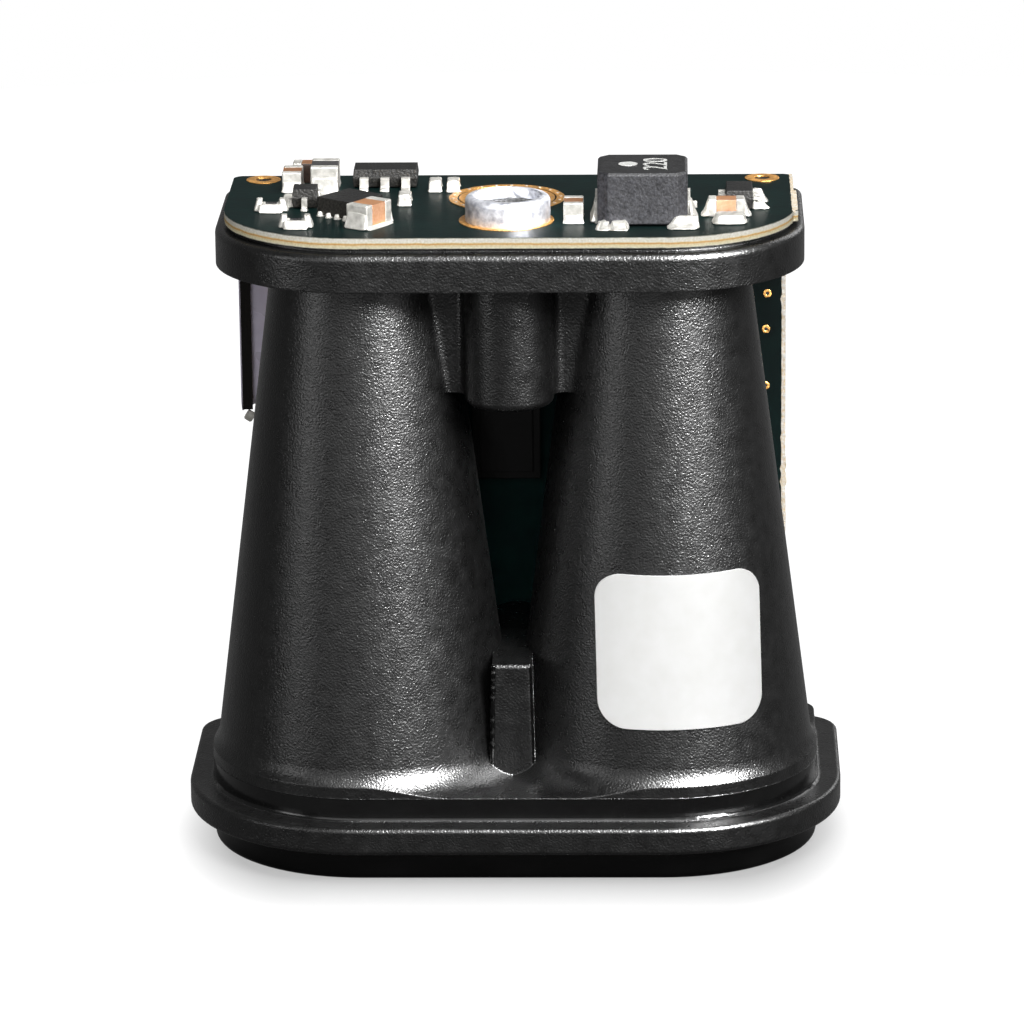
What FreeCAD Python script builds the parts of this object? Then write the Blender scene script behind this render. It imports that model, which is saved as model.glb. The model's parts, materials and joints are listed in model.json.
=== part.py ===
import FreeCAD, Part
import math
import os
from types import SimpleNamespace

import Sketcher
from FreeCAD import Placement, Rotation, Vector

# Micro lidar sensor standing on its lens face.
# X runs to the right, Y to the back and Z up, in millimetres.
# The origin lies on the bezel's lower face, midway between the two lens axes.

SIZES = {
    # Lens bezel
    "lens_spacing": 13.64,      # between the two lens axes
    "bezel_thick": 1.5,
    "bezel_reach": 7.05,        # from a lens axis to the bezel's side and front
    "bezel_back": 7.3,
    "bezel_corner": 1.4,
    "bezel_edge": 0.25,         # rounding of the lower edge
    "lip_thick": 0.5,           # lip that holds the lens in
    "lens_open": 5.9,           # radius of the clear opening
    # Lenses
    "lens_radius": 6.3,
    "lens_rim": 1.8,            # thickness of the lens at its rim
    "lens_front_sag": 0.35,
    "lens_back_sag": 1.4,
    "lens_clear": 0.05,
    # Optics housing, from the base flange up
    "flange_thick": 1.25,
    "flange_rim": 1.1,          # beyond the plinth's sides and front
    "flange_rim_back": 1.25,    # beyond the plinth's back
    "flange_corner": 1.9,
    "flange_edge": 0.2,
    "plinth_high": 1.1,
    "plinth_reach": 7.08,
    "plinth_back": 7.3,
    "plinth_corner": 1.4,
    "tube_high": 23.25,         # from the plinth to the head's underside
    "tube_foot": 6.93,          # outer radius at the plinth
    "tube_head": 3.94,          # outer radius under the head
    "tube_wall": 1.05,
    "tube_flare": 1.4,          # radius of the sweep from tube to plinth
    "rib_high": 5.3,
    "rib_front": 3.9,
    "rib_back": 1.6,
    "rib_foot_wide": 2.04,
    "rib_top_wide": 1.78,
    "rib_edge": 0.2,
    "head_thick": 1.7,
    "head_reach": 6.43,
    "head_corner": 0.8,
    "head_edge": 0.3,
    "land_high": 0.2,           # raised land under the driver board
    "land_inset": 0.65,
    "boss_radius": 2.0,
    "boss_drop": 6.0,           # below the head's underside
    "boss_edge": 0.35,
    "wing_front": 2.4,          # webs that join the boss to both tubes
    "wing_back": 1.2,
    "wing_drop": 5.6,
    "wing_root": 0.5,           # fillets of the webs against the boss and the tubes
    "back_boss_wide": 3.8,      # screw boss behind the tubes
    "back_boss_deep": 4.6,
    "notch_deep": 3.0,          # room for the board header
    "notch_side": 0.6,
    # Driver board
    "driver_thick": 0.5,
    "driver_reach": 6.0,
    "driver_back": 6.4,
    "driver_corner": 0.5,
    "tab_proud": 0.12,          # stub left where the board was broken from its panel
    "tab_wide": 4.0,
    "tab_y": 1.0,
    "corner_hole_radius": 0.4,
    "corner_hole_side": 1.4,    # in from the board's side
    "corner_hole_back": 0.85,   # in from the board's back edge
    "corner_hole_clear": 0.05,
    # Retaining post
    "post_y": -2.6,
    "post_radius": 1.9,
    "post_high": 1.15,
    "post_edge": 0.25,
    "cup_radius": 1.53,
    "cup_deep": 0.52,
    "shank_radius": 1.0,
    "shank_clear": 0.05,
    "shank_long": 5.0,
    # Laser and detector cans
    "can_base_radius": 2.7,
    "can_base_thick": 0.5,
    "laser_radius": 2.2,
    "laser_high": 2.2,
    "laser_window_radius": 1.2,
    "detector_radius": 2.35,
    "detector_high": 1.8,
    "detector_window_radius": 1.75,
    "window_thick": 0.25,
    "window_clear": 0.03,
    # White label on the right tube
    "label_wide": 7.48,
    "label_high": 6.95,
    "label_corner": 1.2,
    "label_turn": 8.4,          # degrees from the front towards the right
    "label_at": 10.4,           # height of its centre
    "label_thick": 0.09,
    "label_glue": 0.02,
    # Driver board's parts: x from the nearer lens axis, y from the line of the axes
    "coil_x": -0.82,
    "coil_y": -2.07,
    "coil_wide": 4.0,
    "coil_deep": 3.94,
    "coil_chamfer": 0.45,
    "coil_high": 2.29,
    "coil_edge": 0.1,
    "terminal_thick": 0.12,
    "terminal_long": 1.3,
    "terminal_deep": 2.6,
    "terminal_rise": 1.0,
    "switch_x": 1.07,
    "switch_y": 4.5,
    "switch_wide": 2.95,
    "switch_deep": 1.6,
    "switch_high": 0.8,
    "switch_lift": 0.07,
    "switch_lead_out": 0.6,     # from the chip's side to the lead's tip
    "switch_spacing": 0.95,
    "switch_side_leads": 3.0,
    "switch_lead_wide": 0.4,
    "lead_thick": 0.14,
    "lead_foot": 0.4,
    "converter_x": -0.26,
    "converter_y": -1.33,
    "converter_turn": -38.0,
    "converter_wide": 2.0,
    "converter_deep": 2.15,
    "converter_high": 0.85,
    "converter_spacing": 0.5,
    "converter_side_pads": 4.0,
    "converter_pad_wide": 0.28,
    "converter_pad_out": 0.2,   # beyond the chip's side
    "converter_pad_in": 0.3,
    "pad_thick": 0.06,
    "pulse_x": 0.69,
    "pulse_y": -3.5,
    "pulse_turn": 56.0,
    "pulse_long": 1.85,
    "pulse_wide": 1.15,
    "pulse_high": 1.08,
    "pulse_end": 0.46,
    "bulk_x": -1.63,
    "bulk_y": 3.42,
    "bulk_long": 1.9,
    "bulk_wide": 1.25,
    "bulk_high": 1.28,
    "bulk_end": 0.45,
    "filter_long": 1.6,
    "filter_wide": 0.88,
    "filter_high": 0.92,
    "filter_end": 0.4,
    "side_filter_x": -3.14,
    "side_filter_y": 3.74,
    "back_filter_x": -2.4,
    "back_filter_y": 5.3,
    "coil_filter_gap": 0.63,    # between the inductor and the filter beside it
    "coil_filter_y": -2.6,
    "snubber_x": 2.9,
    "snubber_y": -1.8,
    "snubber_high": 0.8,
    "snubber_end": 0.37,
    "bypass_long": 1.0,
    "bypass_wide": 0.56,
    "bypass_high": 0.48,
    "bypass_end": 0.3,
    "first_bypass_x": 3.37,
    "second_bypass_x": 4.19,
    "bypass_y": 3.45,
    "boost_bypass_x": 2.1,
    "boost_bypass_y": 0.7,
    "resistor_long": 1.1,
    "resistor_wide": 0.62,
    "resistor_high": 0.34,
    "resistor_end": 0.3,
    "gate_resistor_x": -3.85,
    "gate_resistor_y": -0.55,
    "sense_resistor_x": -2.55,
    "sense_resistor_y": -3.75,
    "clamp_resistor_x": 3.1,
    "clamp_resistor_y": -3.25,
    "skin": 0.02,               # metal ends stand proud of the ceramic
    "gate_x": -2.36,
    "gate_y": 0.3,
    "gate_wide": 1.15,
    "clamp_x": 3.5,
    "clamp_y": 0.12,
    "clamp_wide": 2.05,
    "diode_deep": 1.25,
    "diode_high": 0.82,
    "diode_lift": 0.06,
    "diode_lead_out": 0.425,
    "diode_spacing": 0.65,
    "clamp_side_leads": 3.0,
    "diode_lead_wide": 0.26,
    "diode_foot": 0.25,
    # Main board
    "main_front": 7.0,
    "main_thick": 1.0,
    "main_left": 11.4,
    "main_right": 12.55,
    "main_foot": 5.0,
    "main_below": 0.1,          # its top edge below the driver board
    "main_corner": 0.4,
    "main_screw_z": 6.95,
    "screw_radius": 0.95,
    "screw_clear": 0.1,
    "screw_head_radius": 1.7,
    "screw_head_high": 1.2,
    "screw_edge": 0.2,
    "screw_long": 4.0,
    "slot_wide": 0.5,
    "slot_deep": 0.6,
    # Board header
    "header_count": 6.0,
    "header_spacing": 1.27,
    "header_thick": 1.5,
    "header_deep": 2.1,
    "header_side": 0.4,         # from the last pin's middle to the body's end
    "pin_side": 0.4,
    "pin_hole": 0.33,
    "pin_tail": 0.7,
    # Timing chip on the main board's front
    "timing_x": -0.42,
    "timing_up": 11.9,          # from the board's foot to the chip's middle
    "timing_wide": 3.15,
    "timing_high": 3.8,
    "timing_thick": 0.75,
    "timing_rim": 0.35,
    "timing_step": 0.15,
    # Receptacle on the main board's back, mouth to the left
    "shell_over": 1.45,         # beyond the board's left side
    "shell_drop": 3.35,         # below the board's top edge
    "shell_wide": 7.5,
    "shell_thick": 2.5,
    "shell_long": 5.2,
    "shell_sheet": 0.25,
    "shell_corner": 0.7,
    "lip_flare": 0.32,
    "lip_long": 0.55,
    "tongue_wide": 3.7,
    "tongue_thick": 0.6,
    "tongue_root": 1.6,
    "tongue_short": 0.9,
    "insulator_clear": 0.02,
    "contact_count": 5.0,
    "contact_wide": 0.4,
    "contact_thick": 0.08,
    "contact_spacing": 0.65,
    "contact_long": 2.4,
    # Processor on the main board's back
    "processor_x": 0.2,
    "processor_gap": 1.05,      # from the screw's head to the lowest leads
    "processor_side": 7.0,
    "processor_high": 1.3,
    "processor_lift": 0.1,
    "processor_lead_out": 1.0,
    "processor_spacing": 0.5,
    "processor_side_leads": 12.0,
    "processor_lead_wide": 0.22,
    "processor_foot": 0.55,
    "decoupling_gap": 0.45,
    "decoupling_step": 3.4,
    # Crystal, tantalum capacitor and wire socket on the main board's back
    "crystal_gap": 0.27,        # from the capacitors beside the processor
    "crystal_drop": 1.8,        # below the processor's middle
    "crystal_wide": 3.2,
    "crystal_high": 2.5,
    "crystal_thick": 0.75,
    "crystal_corner": 0.3,
    "tantalum_gap": 0.68,       # from the capacitors beside the processor
    "tantalum_drop": 0.6,       # below the processor's middle
    "tantalum_long": 3.5,
    "tantalum_wide": 2.8,
    "tantalum_thick": 1.9,
    "tantalum_end_wide": 2.0,
    "tantalum_end_rise": 0.95,
    "socket_x": 6.6,
    "socket_gap": 0.27,         # above the capacitors over the processor
    "socket_wide": 8.0,
    "socket_high": 4.25,
    "socket_thick": 2.9,
    "socket_wall": 0.55,
    "socket_deep": 3.2,
    "socket_count": 6.0,
    "socket_spacing": 1.0,
    "socket_pin": 0.32,
    "socket_pin_long": 2.4,
}

SHEET = "Sizes"
DECIMALS = 9
DRAFT = 7        # degrees that a moulded chip's sides lean in
QUARTER = 90     # degrees
CLOSE = 1e-4     # millimetres within which two places count as one


class Size:
    """A length that knows its number and the formula that ties it to the sheet."""

    def __init__(self, number, formula=None):
        self.number = float(number)
        self.formula = formula if formula else str(round(float(number), DECIMALS))

    def __add__(self, other):
        other = as_size(other)
        return Size(self.number + other.number, f"({self.formula} + {other.formula})")

    def __sub__(self, other):
        other = as_size(other)
        return Size(self.number - other.number, f"({self.formula} - {other.formula})")

    def __mul__(self, other):
        other = as_size(other)
        return Size(self.number * other.number, f"({self.formula} * {other.formula})")

    def __truediv__(self, other):
        other = as_size(other)
        return Size(self.number / other.number, f"({self.formula} / {other.formula})")

    def __neg__(self):
        return Size(-self.number, f"(0 - {self.formula})")


def as_size(value):
    return value if isinstance(value, Size) else Size(value)


def root(value):
    return Size(math.sqrt(value.number), f"sqrt({value.formula})")


doc = FreeCAD.newDocument("MicroLidar")


def make_sheet():
    """Write every driving size into the sheet and return them by name."""
    sheet = doc.addObject("Spreadsheet::Sheet", SHEET)
    sizes = {}
    for row, (alias, number) in enumerate(SIZES.items(), start=1):
        sheet.set(f"A{row}", alias)
        sheet.set(f"B{row}", str(number))
        sheet.setAlias(f"B{row}", alias)
        sizes[alias] = Size(number, f"{SHEET}.{alias}")
    doc.recompute()
    return SimpleNamespace(**sizes)


dim = make_sheet()

# Levels and places worked out from the driving sizes
lens_x = dim.lens_spacing / 2
flange_z = dim.bezel_thick
plinth_z = flange_z + dim.flange_thick
tube_z = plinth_z + dim.plinth_high
head_z = tube_z + dim.tube_high
land_z = head_z + dim.head_thick
board_z = land_z + dim.land_high
parts_z = board_z + dim.driver_thick
lens_z = dim.lip_thick
shoulder_z = lens_z + dim.lens_rim
boss_z = head_z - dim.boss_drop
wing_z = head_z - dim.wing_drop
main_back = dim.main_front + dim.main_thick
main_top = board_z - dim.main_below
pin_z = board_z - dim.header_thick / 2
header_half = dim.header_spacing * (dim.header_count - 1) / 2 + dim.header_side
first_pin_x = dim.header_side - header_half
corner_hole_x = lens_x + dim.driver_reach - dim.corner_hole_side
corner_hole_y = dim.driver_back - dim.corner_hole_back
flange_reach = dim.plinth_reach + dim.flange_rim
flange_back = dim.plinth_back + dim.flange_rim_back
tube_slope = (dim.tube_foot - dim.tube_head) / dim.tube_high
coil_x = lens_x + dim.coil_x
lead_reach = dim.processor_side / 2 + dim.processor_lead_out
processor_z = dim.main_screw_z + dim.screw_head_radius + dim.processor_gap + lead_reach
capacitor_reach = lead_reach + dim.decoupling_gap + dim.filter_wide
socket_z = processor_z + capacitor_reach + dim.socket_gap


def bind(thing, prop, size):
    """Tie a property to the sheet."""
    thing.setExpression(prop, as_size(size).formula)


# Sketches


def new_body(label):
    body = doc.addObject("PartDesign::Body", label)
    body.Label = label
    body.AllowCompound = True
    return body


def origin_part(body, role):
    return next(part for part in body.Origin.OriginFeatures if part.Role == role)


def new_sketch(body, name, plane="XY_Plane", level=0, across=0):
    """Start a sketch on one of the body's own planes, moved along that plane's axis."""
    sketch = body.newObject("Sketcher::SketchObject", name)
    sketch.AttachmentSupport = [(origin_part(body, plane), "")]
    sketch.MapMode = "FlatFace"
    level = -as_size(level) if plane == "XZ_Plane" else level
    bind(sketch, "AttachmentOffset.Base.z", level)
    bind(sketch, "AttachmentOffset.Base.x", across)
    return sketch


def constrain(sketch, kind, spot, size):
    """Add a dimension to a sketch and tie it to the sheet."""
    index = sketch.addConstraint(Sketcher.Constraint(kind, *spot, size.number))
    sketch.setExpression(f"Constraints[{index}]", size.formula)


def arc_between(start, end, centre):
    """The shorter arc from start to end, and whether it runs clockwise."""
    begin = math.atan2(start[1] - centre[1], start[0] - centre[0])
    finish = math.atan2(end[1] - centre[1], end[0] - centre[0])
    clockwise = (finish - begin) % (2 * math.pi) > math.pi
    if clockwise:
        begin, finish = finish, begin
    radius = math.hypot(start[0] - centre[0], start[1] - centre[1])
    circle = Part.Circle(Vector(*centre, 0), Vector(0, 0, 1), radius)
    return Part.ArcOfCircle(circle, begin, finish), clockwise


def draw_loop(sketch, points):
    """Draw a closed outline through (x, y) points.

    A point that also has a centre and a radius is reached by that arc.
    """
    points = [(as_size(x), as_size(y), arc) for x, y, *arc in points]
    spots = [(x.number, y.number) for x, y, arc in points]
    first = sketch.GeometryCount
    ends = []
    for place, (_x, _y, arc) in enumerate(points):
        start, end = spots[place - 1], spots[place]
        if not arc:
            sketch.addGeometry(Part.LineSegment(Vector(*start, 0), Vector(*end, 0)), False)
            ends.append((1, 2))
            continue
        centre, radius = arc
        centre = tuple(as_size(value).number for value in centre)
        curve, clockwise = arc_between(start, end, centre)
        sketch.addGeometry(curve, False)
        constrain(sketch, "Radius", (first + place,), as_size(radius))
        ends.append((2, 1) if clockwise else (1, 2))
    for place, (x, y, _arc) in enumerate(points):
        after = (place + 1) % len(points)
        corner = (first + place, ends[place][1])
        sketch.addConstraint(
            Sketcher.Constraint("Coincident", *corner, first + after, ends[after][0]))
        constrain(sketch, "DistanceX", corner, x)
        constrain(sketch, "DistanceY", corner, y)


def draw_box(sketch, left, right, low, high):
    draw_loop(sketch, [(left, low), (right, low), (right, high), (left, high)])


def draw_circle(sketch, x, y, radius):
    x, y, radius = as_size(x), as_size(y), as_size(radius)
    circle = Part.Circle(Vector(x.number, y.number, 0), Vector(0, 0, 1), radius.number)
    place = sketch.addGeometry(circle, False)
    constrain(sketch, "DistanceX", (place, 3), x)
    constrain(sketch, "DistanceY", (place, 3), y)
    constrain(sketch, "Radius", (place,), radius)


def draw_round_box(sketch, left, right, low, high, low_radius, high_radius):
    """A box with its own corner radius at the low and at the high side."""
    left, right, low, high = (as_size(value) for value in (left, right, low, high))
    lr, hr = as_size(low_radius), as_size(high_radius)
    draw_loop(sketch, [
        (right - lr, low),
        (right, low + lr, (right - lr, low + lr), lr),
        (right, high - hr),
        (right - hr, high, (right - hr, high - hr), hr),
        (left + hr, high),
        (left, high - hr, (left + hr, high - hr), hr),
        (left, low + lr),
        (left + lr, low, (left + lr, low + lr), lr),
    ])


def draw_twin_outline(sketch, reach, back, corner):
    """Outline that runs round both lens axes at the front and square at the back."""
    draw_round_box(sketch, -(lens_x + reach), lens_x + reach, -reach, back, reach, corner)


# Features


def extrude(body, kind, sketch, length, name, reverse, both):
    feature = body.newObject(f"PartDesign::{kind}", name)
    feature.Profile = sketch
    feature.SideType = "Symmetric" if both else "One side"
    feature.Reversed = reverse
    bind(feature, "Length", length)
    return feature


def pad(body, sketch, length, name, reverse=False, both=False):
    return extrude(body, "Pad", sketch, length, name, reverse, both)


def pocket(body, sketch, length, name, reverse=False, both=False):
    return extrude(body, "Pocket", sketch, length, name, reverse, both)


def revolve(body, sketch, name, kind="Revolution"):
    """Turn a sketch about its own upright axis, adding or, as a Groove, cutting."""
    feature = body.newObject(f"PartDesign::{kind}", name)
    feature.Profile = sketch
    feature.ReferenceAxis = (sketch, ["V_Axis"])
    feature.Angle = 360
    return feature


def mirror(body, feature, name):
    """Repeat a feature on the other side of the plane between the lenses."""
    copy = body.newObject("PartDesign::Mirrored", name)
    copy.Originals = [feature]
    copy.MirrorPlane = (origin_part(body, "YZ_Plane"), [""])
    body.Tip = copy


def repeat(body, feature, axis, pitch, count, name):
    """Repeat a feature in a row along an axis of the body."""
    row = body.newObject("PartDesign::LinearPattern", name)
    row.Originals = [feature]
    row.Direction = (origin_part(body, axis), [""])
    row.Mode = "Spacing"
    bind(row, "Offset", pitch)
    bind(row, "Occurrences", count)
    body.Tip = row


def edges_where(feature, test):
    """Names of the feature's edges whose middle and ends all pass the test."""
    doc.recompute()
    names = []
    for place, edge in enumerate(feature.Shape.Edges, start=1):
        middle = edge.valueAt((edge.FirstParameter + edge.LastParameter) / 2)
        spots = [middle] + [vertex.Point for vertex in edge.Vertexes]
        if all(test(spot) for spot in spots):
            names.append(f"Edge{place}")
    return names


def round_edges(body, base, test, radius, name):
    fillet = body.newObject("PartDesign::Fillet", name)
    fillet.Base = (base, edges_where(base, test))
    bind(fillet, "Radius", radius)


def chamfer_edges(body, base, test, size, name):
    chamfer = body.newObject("PartDesign::Chamfer", name)
    chamfer.Base = (base, edges_where(base, test))
    bind(chamfer, "Size", size)


def near(first, second):
    return abs(first - as_size(second).number) < CLOSE


def place(body, x=0, y=0, z=0, turn=0):
    """Put a sub-part in its place, turned about the upright axis."""
    turn = as_size(turn)
    body.Placement = Placement(Vector(0, 0, 0), Rotation(Vector(0, 0, 1), turn.number))
    for axis, size in (("x", x), ("y", y), ("z", z)):
        bind(body, f"Placement.Base.{axis}", size)
    bind(body, "Placement.Rotation.Angle", turn)


def place_on_main(body, x, z):
    """Stand a piece that is modelled lying flat on the main board's back."""
    body.Placement = Placement(Vector(0, 0, 0), Rotation(Vector(1, 0, 0), -QUARTER))
    for axis, size in (("x", x), ("y", main_back), ("z", z)):
        bind(body, f"Placement.Base.{axis}", size)


# Optics


def add_tubes(body):
    """Two cones that sweep out into the plinth they stand on."""
    secant = root(tube_slope * tube_slope + 1)
    flare_x = dim.tube_foot + dim.tube_flare * (secant - tube_slope)
    flare_z = tube_z + dim.tube_flare
    meet_x = flare_x - dim.tube_flare / secant
    meet_z = flare_z - dim.tube_flare * tube_slope / secant
    profile = new_sketch(body, "tube_profile", "XZ_Plane", 0, lens_x)
    draw_loop(profile, [
        (0, plinth_z),
        (flare_x, plinth_z),
        (flare_x, tube_z),
        (meet_x, meet_z, (flare_x, flare_z), dim.tube_flare),
        (dim.tube_head, head_z),
        (0, head_z),
    ])
    mirror(body, revolve(body, profile, "right_tube"), "left_tube")

    beyond = flange_reach * 2
    trim = new_sketch(body, "flare_trim", "XY_Plane", plinth_z)
    draw_box(trim, -(lens_x + beyond), lens_x + beyond, -beyond, beyond)
    draw_twin_outline(trim, dim.plinth_reach, dim.plinth_back, dim.plinth_corner)
    pocket(body, trim, dim.plinth_high + dim.tube_flare, "trimmed_flare", reverse=True)

    plinth = new_sketch(body, "plinth_outline", "XY_Plane", plinth_z)
    draw_twin_outline(plinth, dim.plinth_reach, dim.plinth_back, dim.plinth_corner)
    pad(body, plinth, dim.plinth_high, "plinth")


def add_rib(body):
    """The rib between the tubes and, behind them, the boss for the main board's screw."""
    rib = new_sketch(body, "rib_outline", "XZ_Plane", -dim.rib_front)
    foot, top = dim.rib_foot_wide / 2, dim.rib_top_wide / 2
    high = tube_z + dim.rib_high
    draw_loop(rib, [(-foot, tube_z), (foot, tube_z), (top, high), (-top, high)])
    block = pad(body, rib, dim.rib_front + dim.rib_back, "rib", reverse=True)
    lean = (foot - top).number / dim.rib_high.number

    def on_rim(spot):
        side = foot.number - (spot.z - tube_z.number) * lean
        beside = near(abs(spot.x), side)
        return near(spot.y, -dim.rib_front) and (beside or near(spot.z, high))

    round_edges(body, block, on_rim, dim.rib_edge, "rounded_rib")

    boss = new_sketch(body, "back_boss_outline", "XZ_Plane", dim.main_front)
    half = dim.back_boss_wide / 2
    draw_loop(boss, [
        (-half, tube_z),
        (half, tube_z),
        (half, dim.main_screw_z),
        (0, dim.main_screw_z + half, (0, dim.main_screw_z), half),
        (-half, dim.main_screw_z, (0, dim.main_screw_z), half),
    ])
    pad(body, boss, dim.back_boss_deep, "back_boss")


def add_head(body):
    """The flange under the driver board, and its raised land."""
    head = new_sketch(body, "head_outline", "XY_Plane", head_z)
    draw_twin_outline(head, dim.head_reach, dim.main_front, dim.head_corner)
    block = pad(body, head, dim.head_thick, "head")
    round_edges(body, block, lambda spot: near(spot.z, land_z), dim.head_edge, "rounded_head")
    land = new_sketch(body, "land_outline", "XY_Plane", land_z)
    draw_twin_outline(land, dim.head_reach - dim.land_inset, dim.driver_back - dim.land_inset,
                      dim.head_corner)
    pad(body, land, dim.land_high, "land")


def draw_root(sketch, side):
    """The corner between the boss and one web, filled to a concave arc that meets both."""
    radius = dim.wing_root
    level = -(dim.wing_front + radius)
    reach = dim.boss_radius + radius
    drop = dim.post_y - level
    across = root(reach * reach - drop * drop)
    share = dim.boss_radius / reach
    draw_loop(sketch, [
        (0, -dim.wing_front),
        (0, dim.post_y),
        (across * share * side, dim.post_y - drop * share),
        (across * side, -dim.wing_front, (across * side, level), radius),
    ])


def add_boss(body):
    """The boss that holds the retaining post, with a web to each tube."""

    def on_tube(spot):
        beside = abs(spot.x) > dim.boss_radius.number
        return near(spot.y, -dim.wing_front) and beside and spot.z < head_z.number + CLOSE

    webs = new_sketch(body, "web_outline", "XY_Plane", wing_z)
    draw_box(webs, -lens_x, lens_x, -dim.wing_front, dim.wing_back)
    block = pad(body, webs, dim.wing_drop, "webs")
    round_edges(body, block, on_tube, dim.wing_root, "rounded_webs")
    roots = new_sketch(body, "root_outline", "XY_Plane", wing_z)
    for side in (-1, 1):
        draw_root(roots, side)
    pad(body, roots, dim.wing_drop, "web_roots")
    boss = new_sketch(body, "boss_outline", "XY_Plane", boss_z)
    draw_circle(boss, 0, dim.post_y, dim.boss_radius)
    block = pad(body, boss, dim.boss_drop, "boss")
    round_edges(body, block, lambda spot: near(spot.z, boss_z), dim.boss_edge, "rounded_boss")


def add_flange(body):
    """The base flange, rounded where it stands out beyond the plinth."""
    outline = new_sketch(body, "flange_outline", "XY_Plane", flange_z)
    draw_twin_outline(outline, flange_reach, flange_back, dim.flange_corner)
    block = pad(body, outline, dim.flange_thick, "flange")
    between = (dim.plinth_reach + dim.flange_rim / 2).number

    def on_rim(spot):
        round_axis = math.hypot(max(abs(spot.x) - lens_x.number, 0), min(spot.y, 0))
        outside = round_axis > between or spot.y > dim.plinth_back.number
        return outside and (near(spot.z, plinth_z) or near(spot.z, flange_z))

    round_edges(body, block, on_rim, dim.flange_edge, "rounded_flange")


def cut_tunnels(body):
    """A light tunnel down each tube, with the lens's seat at its foot."""
    foot = dim.tube_foot - dim.tube_wall
    top = dim.tube_head - dim.tube_wall
    seat = dim.lens_radius + dim.lens_clear
    profile = new_sketch(body, "tunnel_profile", "XZ_Plane", 0, lens_x)
    draw_loop(profile, [
        (0, flange_z),
        (seat, flange_z),
        (seat, shoulder_z),
        (foot, shoulder_z),
        (top, head_z),
        (top, board_z),
        (0, board_z),
    ])
    mirror(body, revolve(body, profile, "right_tunnel", "Groove"), "left_tunnel")


def cut_fixings(body):
    """Holes for the post, the corner screws and the main board's screw, and a header notch."""
    bore = new_sketch(body, "post_bore_outline", "XY_Plane", board_z)
    draw_circle(bore, 0, dim.post_y, dim.shank_radius + dim.shank_clear)
    pocket(body, bore, dim.shank_long, "post_bore")
    corners = new_sketch(body, "corner_hole_outlines", "XY_Plane", board_z)
    radius = dim.corner_hole_radius + dim.corner_hole_clear
    draw_circle(corners, corner_hole_x, corner_hole_y, radius)
    draw_circle(corners, -corner_hole_x, corner_hole_y, radius)
    pocket(body, corners, dim.head_thick + dim.land_high, "corner_holes")
    notch = new_sketch(body, "notch_outline", "XY_Plane", board_z)
    half = header_half + dim.notch_side
    draw_box(notch, -half, half, dim.main_front - dim.notch_deep,
             dim.main_front + dim.notch_deep)
    pocket(body, notch, dim.head_thick + dim.land_high, "header_notch")
    screw = new_sketch(body, "screw_bore_outline", "XZ_Plane", dim.main_front)
    draw_circle(screw, 0, dim.main_screw_z, dim.screw_radius)
    pocket(body, screw, dim.screw_long, "screw_bore", reverse=True)


def make_housing():
    """The twin-tube moulding: the piece that takes the most skill."""
    body = new_body("optics_housing")
    add_tubes(body)
    add_rib(body)
    add_head(body)
    add_boss(body)
    add_flange(body)
    cut_tunnels(body)
    cut_fixings(body)
    return body


def make_bezel():
    body = new_body("lens_bezel")
    outline = new_sketch(body, "bezel_outline")
    draw_twin_outline(outline, dim.bezel_reach, dim.bezel_back, dim.bezel_corner)
    plate = pad(body, outline, dim.bezel_thick, "bezel_plate")
    round_edges(body, plate, lambda spot: near(spot.z, 0), dim.bezel_edge, "rounded_bezel")
    openings = new_sketch(body, "opening_outlines")
    seats = new_sketch(body, "seat_outlines", "XY_Plane", dim.bezel_thick)
    for x in (lens_x, -lens_x):
        draw_circle(openings, x, 0, dim.lens_open)
        draw_circle(seats, x, 0, dim.lens_radius + dim.lens_clear)
    pocket(body, openings, dim.bezel_thick, "openings", reverse=True)
    pocket(body, seats, dim.bezel_thick - dim.lip_thick, "seats")
    return body


def sphere_through(half_chord, sag):
    """Radius of the sphere with this sag over this half chord."""
    return (half_chord * half_chord + sag * sag) / (sag * 2)


def make_lens(label, x):
    """A lens with a flat rim, nearly flat in front and domed towards the tunnel."""
    body = new_body(label)
    front = dim.lens_open - dim.lens_clear
    back = dim.tube_foot - dim.tube_wall - dim.lens_clear * 2
    front_ball = sphere_through(front, dim.lens_front_sag)
    back_ball = sphere_through(back, dim.lens_back_sag)
    front_z = lens_z - dim.lens_front_sag
    back_z = shoulder_z + dim.lens_back_sag
    profile = new_sketch(body, f"{label}_profile", "XZ_Plane")
    draw_loop(profile, [
        (0, front_z),
        (front, lens_z, (0, front_z + front_ball), front_ball),
        (dim.lens_radius, lens_z),
        (dim.lens_radius, shoulder_z),
        (back, shoulder_z),
        (0, back_z, (0, back_z - back_ball), back_ball),
    ])
    revolve(body, profile, f"{label}_turned")
    place(body, x)
    return body


def make_label():
    """A blank rounded label that follows the right tube's cone."""
    body = new_body("tube_label")
    low = dim.label_at - dim.label_high / 2
    high = dim.label_at + dim.label_high / 2
    inner_low = dim.tube_foot - (low - tube_z) * tube_slope + dim.label_glue
    inner_high = dim.tube_foot - (high - tube_z) * tube_slope + dim.label_glue
    section = new_sketch(body, "label_section", "XZ_Plane")
    draw_loop(section, [
        (inner_low, low),
        (inner_low + dim.label_thick, low),
        (inner_high + dim.label_thick, high),
        (inner_high, high),
    ])
    revolve(body, section, "label_sleeve")
    beyond = dim.tube_foot * 2
    half = dim.label_wide / 2
    trim = new_sketch(body, "label_trim", "XZ_Plane")
    draw_box(trim, -beyond, beyond, low - beyond, high + beyond)
    draw_round_box(trim, -half, half, low, high, dim.label_corner, dim.label_corner)
    pocket(body, trim, beyond * 2, "trimmed_label", both=True)
    back = new_sketch(body, "label_back", "XY_Plane", low)
    draw_box(back, -beyond, beyond, 0, beyond)
    pocket(body, back, dim.label_high, "front_half", reverse=True)
    place(body, lens_x, 0, 0, dim.label_turn)
    return body


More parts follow.
